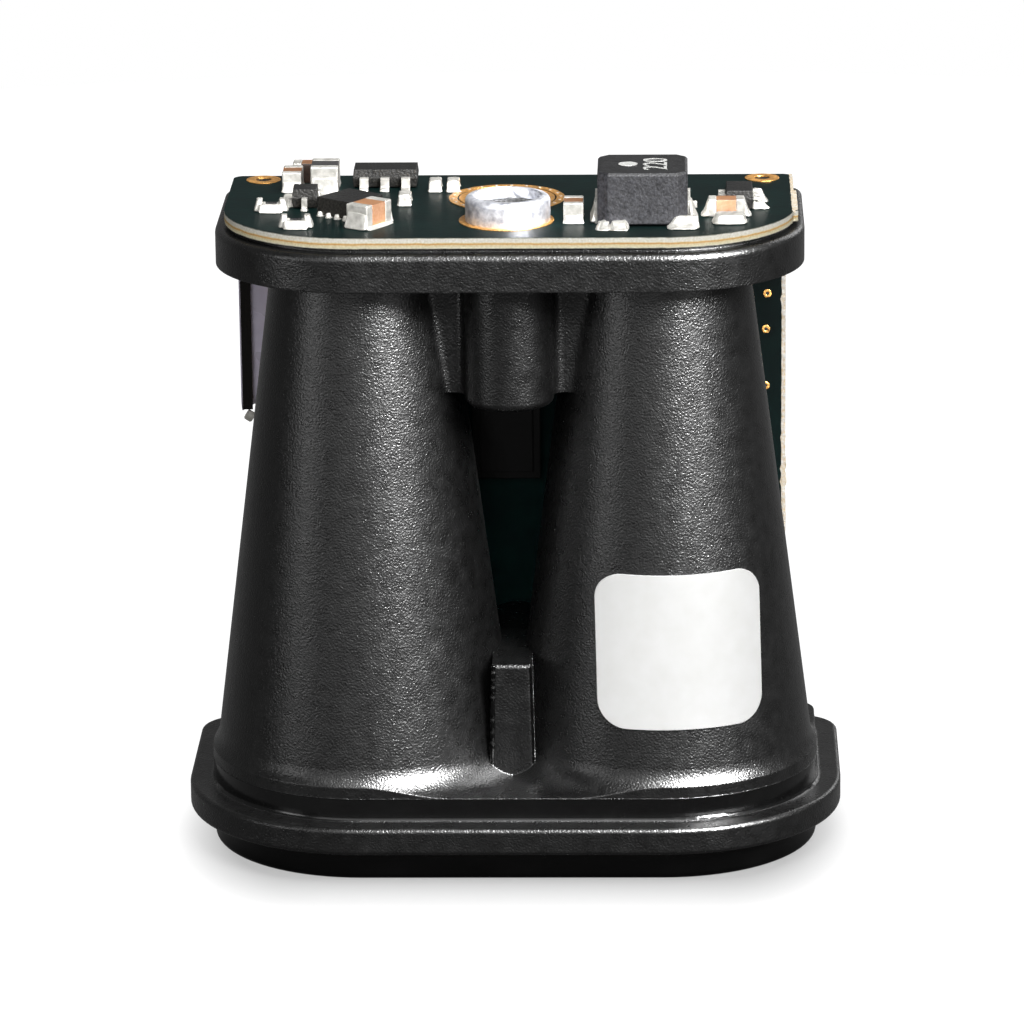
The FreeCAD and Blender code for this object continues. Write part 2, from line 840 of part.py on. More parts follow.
def make_can(name, x, radius, high, window_radius):
    """A metal can under the driver board, and the window in its face."""
    can = new_body(f"{name}_diode")
    base_z = board_z - dim.can_base_thick
    tip_z = base_z - high
    seat_z = tip_z + dim.window_thick
    profile = new_sketch(can, f"{name}_profile", "XZ_Plane")
    draw_loop(profile, [
        (0, board_z),
        (dim.can_base_radius, board_z),
        (dim.can_base_radius, base_z),
        (radius, base_z),
        (radius, tip_z),
        (window_radius + dim.window_clear, tip_z),
        (window_radius + dim.window_clear, seat_z),
        (0, seat_z),
    ])
    revolve(can, profile, f"{name}_turned")
    window = new_body(f"{name}_window")
    outline = new_sketch(window, f"{name}_window_outline", "XY_Plane", tip_z)
    draw_circle(outline, 0, 0, window_radius)
    pad(window, outline, dim.window_thick, f"{name}_disc")
    place(can, x)
    place(window, x)
    return [can, window]


# Driver board and what stands on it


def make_driver_board():
    body = new_body("driver_board")
    outline = new_sketch(body, "driver_outline", "XY_Plane", board_z)
    draw_twin_outline(outline, dim.driver_reach, dim.driver_back, dim.driver_corner)
    pad(body, outline, dim.driver_thick, "driver_plate")
    side, half = lens_x + dim.driver_reach, dim.tab_wide / 2
    tab = new_sketch(body, "tab_outline", "XY_Plane", board_z)
    draw_loop(tab, [
        (side - dim.driver_corner, dim.tab_y - half),
        (side, dim.tab_y - half),
        (side + dim.tab_proud, dim.tab_y - half + dim.tab_proud),
        (side + dim.tab_proud, dim.tab_y + half - dim.tab_proud),
        (side, dim.tab_y + half),
        (side - dim.driver_corner, dim.tab_y + half),
    ])
    pad(body, tab, dim.driver_thick, "tab")
    holes = new_sketch(body, "driver_hole_outlines", "XY_Plane", parts_z)
    draw_circle(holes, 0, dim.post_y, dim.shank_radius + dim.shank_clear)
    draw_circle(holes, corner_hole_x, corner_hole_y, dim.corner_hole_radius)
    draw_circle(holes, -corner_hole_x, corner_hole_y, dim.corner_hole_radius)
    pocket(body, holes, dim.driver_thick, "driver_holes")
    return body


def make_post():
    """A turned post with a cup in its head and its shank in the moulded boss."""
    body = new_body("retaining_post")
    edge, top = dim.post_edge, dim.post_high
    tip = dim.shank_clear - dim.shank_long
    profile = new_sketch(body, "post_profile", "XZ_Plane")
    draw_loop(profile, [
        (0, tip),
        (dim.shank_radius, tip),
        (dim.shank_radius, 0),
        (dim.post_radius, 0),
        (dim.post_radius, top - edge),
        (dim.post_radius - edge, top, (dim.post_radius - edge, top - edge), edge),
        (dim.cup_radius, top),
        (dim.cup_radius, top - dim.cup_deep),
        (0, top - dim.cup_deep),
    ])
    revolve(body, profile, "post_turned")
    place(body, 0, dim.post_y, parts_z)
    return body


def make_inductor():
    body = new_body("power_inductor")
    half_x, half_y, cut = dim.coil_wide / 2, dim.coil_deep / 2, dim.coil_chamfer
    outline = new_sketch(body, "coil_outline", "XY_Plane", dim.terminal_thick)
    draw_loop(outline, [
        (cut - half_x, -half_y), (half_x - cut, -half_y),
        (half_x, cut - half_y), (half_x, half_y - cut),
        (half_x - cut, half_y), (cut - half_x, half_y),
        (-half_x, half_y - cut), (-half_x, cut - half_y),
    ])
    block = pad(body, outline, dim.coil_high, "coil_block")
    top = dim.terminal_thick + dim.coil_high
    chamfer_edges(body, block, lambda spot: near(spot.z, top), dim.coil_edge, "coil_top")
    place(body, coil_x, dim.coil_y, parts_z)
    return body


def make_inductor_terminals():
    """Two bent plates that run under the inductor and up its sides."""
    body = new_body("inductor_terminals")
    thick = dim.terminal_thick
    out = dim.coil_wide / 2 + thick
    section = new_sketch(body, "terminal_section", "XZ_Plane")
    draw_loop(section, [
        (out - dim.terminal_long, 0),
        (out, 0),
        (out, dim.terminal_rise),
        (out - thick, dim.terminal_rise),
        (out - thick, thick),
        (out - dim.terminal_long, thick),
    ])
    right = pad(body, section, dim.terminal_deep, "right_terminal", both=True)
    mirror(body, right, "left_terminal")
    place(body, coil_x, dim.coil_y, parts_z)
    return body


def moulded_chip(label, wide, deep, high, lift):
    """A moulded chip whose sides lean in above and below its parting line."""
    body = new_body(label)
    outline = new_sketch(body, f"{label}_outline", "XY_Plane", lift + high / 2)
    draw_box(outline, -wide / 2, wide / 2, -deep / 2, deep / 2)
    block = pad(body, outline, high / 2, f"{label}_block")
    block.SideType = "Two sides"
    bind(block, "Length2", high / 2)
    block.TaperAngle = -DRAFT
    block.TaperAngle2 = -DRAFT
    return body


def draw_lead(sketch, side, root_at, out, rise, foot):
    """The section of one bent lead, from the chip's side down to its foot."""
    tip, thick = root_at + out, dim.lead_thick
    heel = tip - foot
    draw_loop(sketch, [
        (root_at * side, rise - thick / 2),
        (heel * side, rise - thick / 2),
        (heel * side, 0),
        (tip * side, 0),
        (tip * side, thick),
        ((heel + thick) * side, thick),
        ((heel + thick) * side, rise + thick / 2),
        (root_at * side, rise + thick / 2),
    ])


def lead_rows(label, count, pitch, wide, root_at, out, rise, foot):
    """Leads along both long sides of a chip."""
    body = new_body(label)
    first = -(pitch * (count - 1) / 2)
    section = new_sketch(body, f"{label}_section", "YZ_Plane", first)
    for side in (-1, 1):
        draw_lead(section, side, root_at, out, rise, foot)
    pair = pad(body, section, wide, f"{label}_pair", both=True)
    repeat(body, pair, "X_Axis", pitch, count, f"{label}_row")
    return body


def make_switch():
    """The six-lead switch chip at the board's back edge."""
    chip = moulded_chip("charge_switch", dim.switch_wide, dim.switch_deep, dim.switch_high,
                        dim.switch_lift)
    leads = lead_rows("charge_switch_leads", dim.switch_side_leads, dim.switch_spacing,
                      dim.switch_lead_wide, dim.switch_deep / 2, dim.switch_lead_out,
                      dim.switch_lift + dim.switch_high / 2, dim.lead_foot)
    for piece in (chip, leads):
        place(piece, dim.switch_x - lens_x, dim.switch_y, parts_z)
    return [chip, leads]


def make_converter():
    """A leadless chip set askew on the board, with four pads along two sides."""
    chip = new_body("converter_chip")
    half_x, half_y = dim.converter_wide / 2, dim.converter_deep / 2
    outline = new_sketch(chip, "converter_outline", "XY_Plane", dim.pad_thick)
    draw_box(outline, -half_x, half_x, -half_y, half_y)
    pad(chip, outline, dim.converter_high - dim.pad_thick, "converter_block")

    pads = new_body("converter_pads")
    first = -(dim.converter_spacing * (dim.converter_side_pads - 1) / 2)
    wide = dim.converter_pad_wide / 2
    section = new_sketch(pads, "converter_pad_outline")
    out, into = half_y + dim.converter_pad_out, half_y - dim.converter_pad_in
    draw_box(section, first - wide, first + wide, -out, -into)
    draw_box(section, first - wide, first + wide, into, out)
    pair = pad(pads, section, dim.pad_thick, "converter_pad_pair")
    repeat(pads, pair, "X_Axis", dim.converter_spacing, dim.converter_side_pads,
           "converter_pad_rows")
    for piece in (chip, pads):
        place(piece, dim.converter_x - lens_x, dim.converter_y, parts_z, dim.converter_turn)
    return [chip, pads]


def make_gate_diode():
    """A small diode with one lead in front and two behind."""
    chip = moulded_chip("gate_diode", dim.gate_wide, dim.diode_deep, dim.diode_high,
                        dim.diode_lift)
    leads = new_body("gate_diode_leads")
    rise = dim.diode_lift + dim.diode_high / 2
    for name, side, shift in (("front", -1, 0), ("left", 1, -1), ("right", 1, 1)):
        section = new_sketch(leads, f"{name}_lead_section", "YZ_Plane",
                             dim.diode_spacing / 2 * shift)
        draw_lead(section, side, dim.diode_deep / 2, dim.diode_lead_out, rise, dim.diode_foot)
        pad(leads, section, dim.diode_lead_wide, f"{name}_lead", both=True)
    for piece in (chip, leads):
        place(piece, dim.gate_x - lens_x, dim.gate_y, parts_z)
    return [chip, leads]


def make_clamp_diode():
    """A six-lead diode array, turned so that its leads point to the sides."""
    chip = moulded_chip("clamp_diode", dim.clamp_wide, dim.diode_deep, dim.diode_high,
                        dim.diode_lift)
    leads = lead_rows("clamp_diode_leads", dim.clamp_side_leads, dim.diode_spacing,
                      dim.diode_lead_wide, dim.diode_deep / 2, dim.diode_lead_out,
                      dim.diode_lift + dim.diode_high / 2, dim.diode_foot)
    for piece in (chip, leads):
        place(piece, lens_x + dim.clamp_x, dim.clamp_y, parts_z, QUARTER)
    return [chip, leads]


def chip_set(label, spots, long, wide, high, end, plane="XY_Plane", level=0, reverse=False):
    """Ceramic chips of one size and, in a node of their own, their metal ends.

    Each spot is (x, y, "across" or "along"), in the plane that the chips stand on.
    """
    ceramic, ends = new_body(label), new_body(f"{label}_ends")
    bodies = new_sketch(ceramic, f"{label}_outline", plane, level)
    caps = new_sketch(ends, f"{label}_end_outline", plane, level)
    inner, outer = long / 2 - end, long / 2
    for x, y, way in spots:
        for sketch, first, last, half in (
            (bodies, -inner, inner, wide / 2 - dim.skin),
            (caps, -outer, -inner, wide / 2),
            (caps, inner, outer, wide / 2),
        ):
            if way == "across":
                draw_box(sketch, x + first, x + last, y - half, y + half)
            else:
                draw_box(sketch, x - half, x + half, y + first, y + last)
    pad(ceramic, bodies, high - dim.skin, f"{label}_blocks", reverse)
    blocks = pad(ends, caps, high, f"{label}_end_blocks", reverse)
    chamfer_edges(ends, blocks, lambda spot: True, dim.skin * 2, f"{label}_end_edges")
    return [ceramic, ends]


def make_pulse_capacitor():
    """The capacitor that stands askew beside the converter."""
    pieces = chip_set("pulse_capacitor", [(as_size(0), as_size(0), "across")],
                      dim.pulse_long, dim.pulse_wide, dim.pulse_high, dim.pulse_end)
    for piece in pieces:
        place(piece, dim.pulse_x - lens_x, dim.pulse_y, parts_z, dim.pulse_turn)
    return pieces


def make_board_chips():
    """The ceramic chips that stand square on the driver board."""
    coil_filter_x = coil_x - dim.coil_wide / 2 - dim.coil_filter_gap - dim.filter_wide / 2
    groups = [
        ("bulk_capacitor", [(dim.bulk_x - lens_x, dim.bulk_y, "along")],
         dim.bulk_long, dim.bulk_wide, dim.bulk_high, dim.bulk_end),
        ("filter_capacitors", [
            (dim.side_filter_x - lens_x, dim.side_filter_y, "along"),
            (dim.back_filter_x - lens_x, dim.back_filter_y, "across"),
            (coil_filter_x, dim.coil_filter_y, "along"),
        ], dim.filter_long, dim.filter_wide, dim.filter_high, dim.filter_end),
        ("snubber_capacitor", [(lens_x + dim.snubber_x, dim.snubber_y, "across")],
         dim.filter_long, dim.filter_wide, dim.snubber_high, dim.snubber_end),
        ("bypass_capacitors", [
            (dim.first_bypass_x - lens_x, dim.bypass_y, "along"),
            (dim.second_bypass_x - lens_x, dim.bypass_y, "along"),
            (dim.boost_bypass_x - lens_x, dim.boost_bypass_y, "along"),
        ], dim.bypass_long, dim.bypass_wide, dim.bypass_high, dim.bypass_end),
        ("chip_resistors", [
            (dim.gate_resistor_x - lens_x, dim.gate_resistor_y, "across"),
            (dim.sense_resistor_x - lens_x, dim.sense_resistor_y, "across"),
            (lens_x + dim.clamp_resistor_x, dim.clamp_resistor_y, "across"),
        ], dim.resistor_long, dim.resistor_wide, dim.resistor_high, dim.resistor_end),
    ]
    return [piece for group in groups for piece in chip_set(*group, level=parts_z)]


# Main board and what stands on it


def make_main_board():
    body = new_body("main_board")
    outline = new_sketch(body, "main_outline", "XZ_Plane", dim.main_front)
    draw_round_box(outline, -dim.main_left, dim.main_right, dim.main_foot, main_top,
                   dim.main_corner, dim.main_corner)
    pad(body, outline, dim.main_thick, "main_plate", reverse=True)
    screw = new_sketch(body, "screw_hole_outline", "XZ_Plane", dim.main_front)
    draw_circle(screw, 0, dim.main_screw_z, dim.screw_radius + dim.screw_clear)
    pocket(body, screw, dim.main_thick, "screw_hole")
    first = new_sketch(body, "pin_hole_outline", "XZ_Plane", dim.main_front)
    draw_circle(first, first_pin_x, pin_z, dim.pin_hole)
    hole = pocket(body, first, dim.main_thick, "pin_hole")
    repeat(body, hole, "X_Axis", dim.header_spacing, dim.header_count, "pin_holes")
    return body


def make_main_screw():
    """A slotted screw that holds the main board to the boss behind the tubes."""
    body = new_body("main_board_screw")
    radius, edge = dim.screw_head_radius, dim.screw_edge
    head_y = main_back + dim.screw_head_high
    shank = dim.screw_radius - dim.screw_clear / 2
    tip_y = dim.main_front - dim.screw_long + dim.screw_clear
    profile = new_sketch(body, "screw_profile", "XY_Plane")
    draw_loop(profile, [
        (0, tip_y),
        (shank, tip_y),
        (shank, main_back),
        (radius, main_back),
        (radius, head_y - edge),
        (radius - edge, head_y, (radius - edge, head_y - edge), edge),
        (0, head_y),
    ])
    revolve(body, profile, "screw_turned")
    slot = new_sketch(body, "slot_outline", "XZ_Plane", head_y)
    draw_box(slot, -radius * 2, radius * 2, -dim.slot_wide / 2, dim.slot_wide / 2)
    pocket(body, slot, dim.slot_deep, "slot", reverse=True)
    place(body, 0, 0, dim.main_screw_z)
    return body


def make_header():
    body = new_body("board_header")
    outline = new_sketch(body, "header_outline", "XZ_Plane", dim.main_front)
    draw_box(outline, -header_half, header_half, board_z - dim.header_thick, board_z)
    pad(body, outline, dim.header_deep, "header_block")
    side = dim.pin_side / 2
    first = new_sketch(body, "pin_way_outline", "XZ_Plane", dim.main_front)
    draw_box(first, first_pin_x - side, first_pin_x + side, pin_z - side, pin_z + side)
    way = pocket(body, first, dim.header_deep, "pin_way", reverse=True)
    repeat(body, way, "X_Axis", dim.header_spacing, dim.header_count, "pin_ways")
    return body


def make_header_pins():
    """Bent pins: one leg through the main board, one up to the driver board."""
    body = new_body("header_pins")
    side = dim.pin_side / 2
    bend = dim.main_front - dim.header_deep
    section = new_sketch(body, "pin_section", "YZ_Plane", first_pin_x)
    draw_loop(section, [
        (bend - dim.pin_side, pin_z - side),
        (main_back + dim.pin_tail, pin_z - side),
        (main_back + dim.pin_tail, pin_z + side),
        (bend, pin_z + side),
        (bend, board_z),
        (bend - dim.pin_side, board_z),
    ])
    pin = pad(body, section, dim.pin_side, "first_pin", both=True)
    repeat(body, pin, "X_Axis", dim.header_spacing, dim.header_count, "pin_row")
    return body


def make_timing_chip():
    """A flat chip with a stepped rim on the main board's front."""
    body = new_body("timing_chip")
    half_x, half_z = dim.timing_wide / 2, dim.timing_high / 2
    x, z = dim.timing_x, dim.main_foot + dim.timing_up
    rim = new_sketch(body, "timing_rim_outline", "XZ_Plane", dim.main_front)
    draw_box(rim, x - half_x, x + half_x, z - half_z, z + half_z)
    pad(body, rim, dim.timing_thick - dim.timing_step, "timing_rim")
    half_x, half_z = half_x - dim.timing_rim, half_z - dim.timing_rim
    face = new_sketch(body, "timing_face_outline", "XZ_Plane", dim.main_front)
    draw_box(face, x - half_x, x + half_x, z - half_z, z + half_z)
    pad(body, face, dim.timing_thick, "timing_face")
    return body


def make_receptacle():
    """A folded shell with a flared mouth, its insulator and its contacts."""
    mouth = -(dim.main_left + dim.shell_over)
    throat = mouth + dim.lip_long
    back = mouth + dim.shell_long
    low, high = main_back, main_back + dim.shell_thick
    top = main_top - dim.shell_drop
    foot = top - dim.shell_wide

    def outline(body, name, x, grow):
        sketch = new_sketch(body, name, "YZ_Plane", x)
        draw_round_box(sketch, low - grow, high + grow, foot - grow, top + grow,
                       dim.shell_corner + grow, dim.shell_corner + grow)
        return sketch

    def loft(body, kind, name, grow):
        lip = body.newObject(f"PartDesign::{kind}", name)
        lip.Profile = outline(body, f"{name}_root", throat, grow)
        lip.Sections = [outline(body, f"{name}_mouth", mouth, grow + dim.lip_flare)]
        lip.Ruled = True

    shell = new_body("receptacle_shell")
    pad(shell, outline(shell, "shell_outline", throat, as_size(0)), back - throat, "shell")
    loft(shell, "AdditiveLoft", "lip", as_size(0))
    hollow = outline(shell, "hollow_outline", throat, -dim.shell_sheet)
    pocket(shell, hollow, back - throat, "hollow", reverse=True)
    loft(shell, "SubtractiveLoft", "gape", -dim.shell_sheet)

    insulator = new_body("receptacle_insulator")
    wall = outline(insulator, "wall_outline", back, -(dim.shell_sheet + dim.insulator_clear))
    pad(insulator, wall, dim.tongue_root, "insulator_wall", reverse=True)
    middle_y, middle_z = (low + high) / 2, (foot + top) / 2
    half_y, half_z = dim.tongue_thick / 2, dim.tongue_wide / 2
    tongue = new_sketch(insulator, "tongue_outline", "YZ_Plane", back)
    draw_box(tongue, middle_y - half_y, middle_y + half_y, middle_z - half_z,
             middle_z + half_z)
    pad(insulator, tongue, dim.shell_long - dim.tongue_short, "tongue", reverse=True)

    contacts = new_body("receptacle_contacts")
    face = middle_y + half_y
    first_z = middle_z - dim.contact_spacing * (dim.contact_count - 1) / 2
    half = dim.contact_wide / 2
    strip = new_sketch(contacts, "contact_outline", "YZ_Plane", back - dim.tongue_root)
    draw_box(strip, face, face + dim.contact_thick, first_z - half, first_z + half)
    first = pad(contacts, strip, dim.contact_long, "contact", reverse=True)
    repeat(contacts, first, "Z_Axis", dim.contact_spacing, dim.contact_count, "contact_row")
    return [shell, insulator, contacts]


def make_processor():
    """A square chip with twelve bent leads on each side."""
    chip = moulded_chip("processor", dim.processor_side, dim.processor_side,
                        dim.processor_high, dim.processor_lift)
    leads = new_body("processor_leads")
    pitch, count = dim.processor_spacing, dim.processor_side_leads
    first = -(pitch * (count - 1) / 2)
    rise = dim.processor_lift + dim.processor_high / 2
    for name, plane, axis in (("upright", "YZ_Plane", "X_Axis"), ("level", "XZ_Plane", "Y_Axis")):
        section = new_sketch(leads, f"{name}_section", plane, first)
        for side in (-1, 1):
            draw_lead(section, side, dim.processor_side / 2, dim.processor_lead_out, rise,
                      dim.processor_foot)
        pair = pad(leads, section, dim.processor_lead_wide, f"{name}_pair", both=True)
        repeat(leads, pair, axis, pitch, count, f"{name}_row")
    for piece in (chip, leads):
        place_on_main(piece, dim.processor_x, processor_z)
    return [chip, leads]


def make_decoupling():
    """Small capacitors on three sides of the processor."""
    out = capacitor_reach - dim.filter_wide / 2
    x, z = dim.processor_x, processor_z
    step = dim.decoupling_step / 2
    spots = [
        (x - out, z - step, "along"),
        (x - out, z + step, "along"),
        (x + out, z - step, "along"),
        (x + out, z + step, "along"),
        (x - step, z + out, "across"),
        (x + step, z + out, "across"),
    ]
    return chip_set("main_board_capacitors", spots, dim.filter_long, dim.filter_wide,
                    dim.filter_high, dim.filter_end, "XZ_Plane", main_back, reverse=True)


def make_crystal():
    body = new_body("crystal")
    half_x, half_z = dim.crystal_wide / 2, dim.crystal_high / 2
    corner = dim.crystal_corner
    outline = new_sketch(body, "crystal_outline")
    draw_round_box(outline, -half_x, half_x, -half_z, half_z, corner, corner)
    pad(body, outline, dim.crystal_thick, "crystal_can")
    x = dim.processor_x - capacitor_reach - dim.crystal_gap - half_x
    place_on_main(body, x, processor_z - dim.crystal_drop)
    return body


def make_tantalum():
    """A moulded capacitor and its two folded ends."""
    half_x, half_y = dim.tantalum_long / 2, dim.tantalum_wide / 2
    block = new_body("tantalum_capacitor")
    outline = new_sketch(block, "tantalum_outline")
    draw_box(outline, -half_x, half_x, -half_y, half_y)
    pad(block, outline, dim.tantalum_thick, "tantalum_block")
    ends = new_body("tantalum_ends")
    section = new_sketch(ends, "tantalum_end_section", "XZ_Plane")
    draw_box(section, half_x, half_x + dim.lead_thick, 0, dim.tantalum_end_rise)
    right = pad(ends, section, dim.tantalum_end_wide, "right_end", both=True)
    mirror(ends, right, "left_end")
    x = dim.processor_x + capacitor_reach + dim.tantalum_gap + dim.lead_thick + half_x
    for piece in (block, ends):
        place_on_main(piece, x, processor_z - dim.tantalum_drop)
    return [block, ends]


def make_wire_socket():
    """A small socket, open at the top, with a row of pins."""
    x, wall = dim.socket_x, dim.socket_wall
    half, mouth_z = dim.socket_wide / 2, socket_z + dim.socket_high
    socket = new_body("wire_socket")
    outline = new_sketch(socket, "socket_outline", "XZ_Plane", main_back)
    draw_box(outline, x - half, x + half, socket_z, mouth_z)
    pad(socket, outline, dim.socket_thick, "socket_block", reverse=True)
    mouth = new_sketch(socket, "mouth_outline", "XY_Plane", mouth_z)
    draw_box(mouth, x - half + wall, x + half - wall, main_back + wall,
             main_back + dim.socket_thick - wall)
    pocket(socket, mouth, dim.socket_deep, "mouth")

    pins = new_body("wire_socket_pins")
    side, middle = dim.socket_pin / 2, main_back + dim.socket_thick / 2
    first_x = x - dim.socket_spacing * (dim.socket_count - 1) / 2
    section = new_sketch(pins, "socket_pin_outline", "XY_Plane", mouth_z - dim.socket_deep)
    draw_box(section, first_x - side, first_x + side, middle - side, middle + side)
    pin = pad(pins, section, dim.socket_pin_long, "socket_pin")
    repeat(pins, pin, "X_Axis", dim.socket_spacing, dim.socket_count, "socket_pin_row")
    return [socket, pins]


# The whole sensor


def make_all():
    return [
        make_housing(),
        make_bezel(),
        make_lens("transmit_lens", -lens_x),
        make_lens("receive_lens", lens_x),
        make_label(),
        *make_can("laser", -lens_x, dim.laser_radius, dim.laser_high, dim.laser_window_radius),
        *make_can("detector", lens_x, dim.detector_radius, dim.detector_high,
                  dim.detector_window_radius),
        make_driver_board(),
        make_post(),
        make_inductor(),
        make_inductor_terminals(),
        *make_switch(),
        *make_converter(),
        *make_gate_diode(),
        *make_clamp_diode(),
        *make_pulse_capacitor(),
        *make_board_chips(),
        make_main_board(),
        make_main_screw(),
        make_header(),
        make_header_pins(),
        make_timing_chip(),
        *make_receptacle(),
        *make_processor(),
        *make_decoupling(),
        make_crystal(),
        *make_tantalum(),
        *make_wire_socket(),
    ]


def check(pieces):
    """Stop before anything is written if an object failed or a shape is unsound."""
    for thing in doc.Objects:
        if "Invalid" in thing.State or "Error" in thing.State:
            raise RuntimeError(f"{thing.Name} failed: {thing.State}")
    for piece in pieces:
        if piece.Shape.isNull() or not piece.Shape.isValid() or not piece.Shape.Solids:
            raise RuntimeError(f"{piece.Label} has no sound solid")


def main():
    pieces = make_all()
    doc.recompute()
    check(pieces)
    os.makedirs("parts", exist_ok=True)
    for piece in pieces:
        piece.Shape.exportStep(f"parts/{piece.Label}.step")
        print(f"{piece.Label:27s} {len(piece.Shape.Solids):3d} solids "
              f"{piece.Shape.Volume:10.3f} mm3")


main()
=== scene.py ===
import json
import math
import random

import bmesh
import bpy
from mathutils import Matrix, Quaternion, Vector


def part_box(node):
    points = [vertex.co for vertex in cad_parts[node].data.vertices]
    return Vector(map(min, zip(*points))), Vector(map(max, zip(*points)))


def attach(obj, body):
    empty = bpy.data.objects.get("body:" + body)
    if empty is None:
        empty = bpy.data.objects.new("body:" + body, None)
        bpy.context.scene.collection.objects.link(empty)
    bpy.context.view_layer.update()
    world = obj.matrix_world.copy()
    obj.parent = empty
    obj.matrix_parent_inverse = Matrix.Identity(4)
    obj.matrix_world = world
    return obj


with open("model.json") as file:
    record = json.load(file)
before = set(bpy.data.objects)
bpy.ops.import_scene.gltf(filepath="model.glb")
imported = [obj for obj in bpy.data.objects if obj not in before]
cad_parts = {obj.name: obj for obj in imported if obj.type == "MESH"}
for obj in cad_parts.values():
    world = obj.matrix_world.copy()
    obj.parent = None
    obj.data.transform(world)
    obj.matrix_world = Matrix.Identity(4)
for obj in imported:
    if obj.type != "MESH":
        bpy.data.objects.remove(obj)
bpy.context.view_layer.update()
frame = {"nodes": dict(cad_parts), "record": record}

nodes = frame["nodes"]
scene = bpy.context.scene

MM = 0.001                  # one millimetre in the scene's metres
chance = random.Random(29)  # every uneven shape draws from it, in one fixed order


# Materials

GLOSS_SWING = 0.06          # how far a roughness wanders either way
PLINTH_BAND = (2.8, 3.82)   # levels of the housing's polished band, in millimetres
WHITE = (1, 1, 1, 1)

# The cut edge of a board from face to face: share of its thickness, and colour
LAMINATE = ((0.0, "#4a4636"), (0.1, "#ebe5cf"), (0.34, "#eadbb0"), (0.45, "#dfa452"),
            (0.54, "#efe0b4"), (0.62, "#f6f3ea"), (0.93, "#f4f2ea"), (1.0, "#6f7268"))


def linear(code):
    """Linear colour, with alpha, of an sRGB hex value such as "#1a2b3c"."""
    parts = [int(code[place:place + 2], 16) / 255 for place in (1, 3, 5)]
    return tuple(part / 12.92 if part <= 0.04045 else ((part + 0.055) / 1.055) ** 2.4
                 for part in parts) + (1.0,)


def add(tree, kind, inputs=(), **settings):
    """Add a node: settings are its own options, inputs are numbers or other outputs."""
    made = tree.nodes.new("ShaderNode" + kind)
    for name, value in settings.items():
        setattr(made, name, value)
    for name, value in dict(inputs).items():
        if isinstance(value, bpy.types.NodeSocket):
            tree.links.new(value, made.inputs[name])
        else:
            made.inputs[name].default_value = value
    return made.outputs


def start_finish(name):
    """A new material and its node tree, emptied."""
    material = bpy.data.materials.new(name)
    material.use_nodes = True
    material.node_tree.nodes.clear()
    return material, material.node_tree


def end_finish(material, shader):
    """Join the shader to the material's output."""
    add(material.node_tree, "OutputMaterial", {"Surface": shader})
    return material


def varied(tree, size, low, high, detail=2.0):
    """A value that wanders from low to high over patches of this many millimetres.

    Most of the noise lies between 0.3 and 0.7, so that span is stretched to the two.
    """
    place = add(tree, "TexCoord")["Object"]
    cloud = add(tree, "TexNoise", {"Vector": place, "Scale": 1 / (size * MM),
                                   "Detail": detail})["Fac"]
    return add(tree, "MapRange", {"Value": cloud, "From Min": 0.3, "From Max": 0.7,
                                  "To Min": low, "To Max": high}, clamp=False)["Result"]


def mottled(tree, size, dark, pale, detail=3.0):
    """A colour that wanders between two hex colours over patches of this size."""
    return add(tree, "MixRGB", {"Fac": varied(tree, size, 0, 1, detail),
                                "Color1": linear(dark), "Color2": linear(pale)})["Color"]


def surface(name, dark, pale, grain, rough, depth, top=None, edge=0.04, more=()):
    """An opaque finish: mottled, a little glossier in places, with soft edges.

    Grain is the size of its mottling, depth the height of its unevenness and edge the
    radius over which its edges catch light, all in millimetres. Upward faces take the
    top's colour, if one is given. More holds the shader's other values.
    """
    material, tree = start_finish(name)
    colour = mottled(tree, grain, dark, pale)
    if top:
        facing = add(tree, "SeparateXYZ", {"Vector": add(tree, "NewGeometry")["Normal"]})["Z"]
        upward = add(tree, "MapRange", {"Value": facing, "From Min": 0.5, "From Max": 0.9,
                                        "To Max": 0.85})["Result"]
        colour = add(tree, "MixRGB", {"Fac": upward, "Color1": colour,
                                      "Color2": linear(top)})["Color"]
    soft = add(tree, "Bevel", {"Radius": edge * MM}, samples=4)["Normal"]
    uneven = add(tree, "Bump", {"Height": varied(tree, grain, 0, 1, 3.0),
                                "Distance": depth * MM, "Normal": soft})["Normal"]
    values = {"Base Color": colour, "Normal": uneven,
              "Roughness": varied(tree, grain * 3, rough - GLOSS_SWING,
                                  rough + GLOSS_SWING)}
    return end_finish(material, add(tree, "BsdfPrincipled", values | dict(more))["BSDF"])


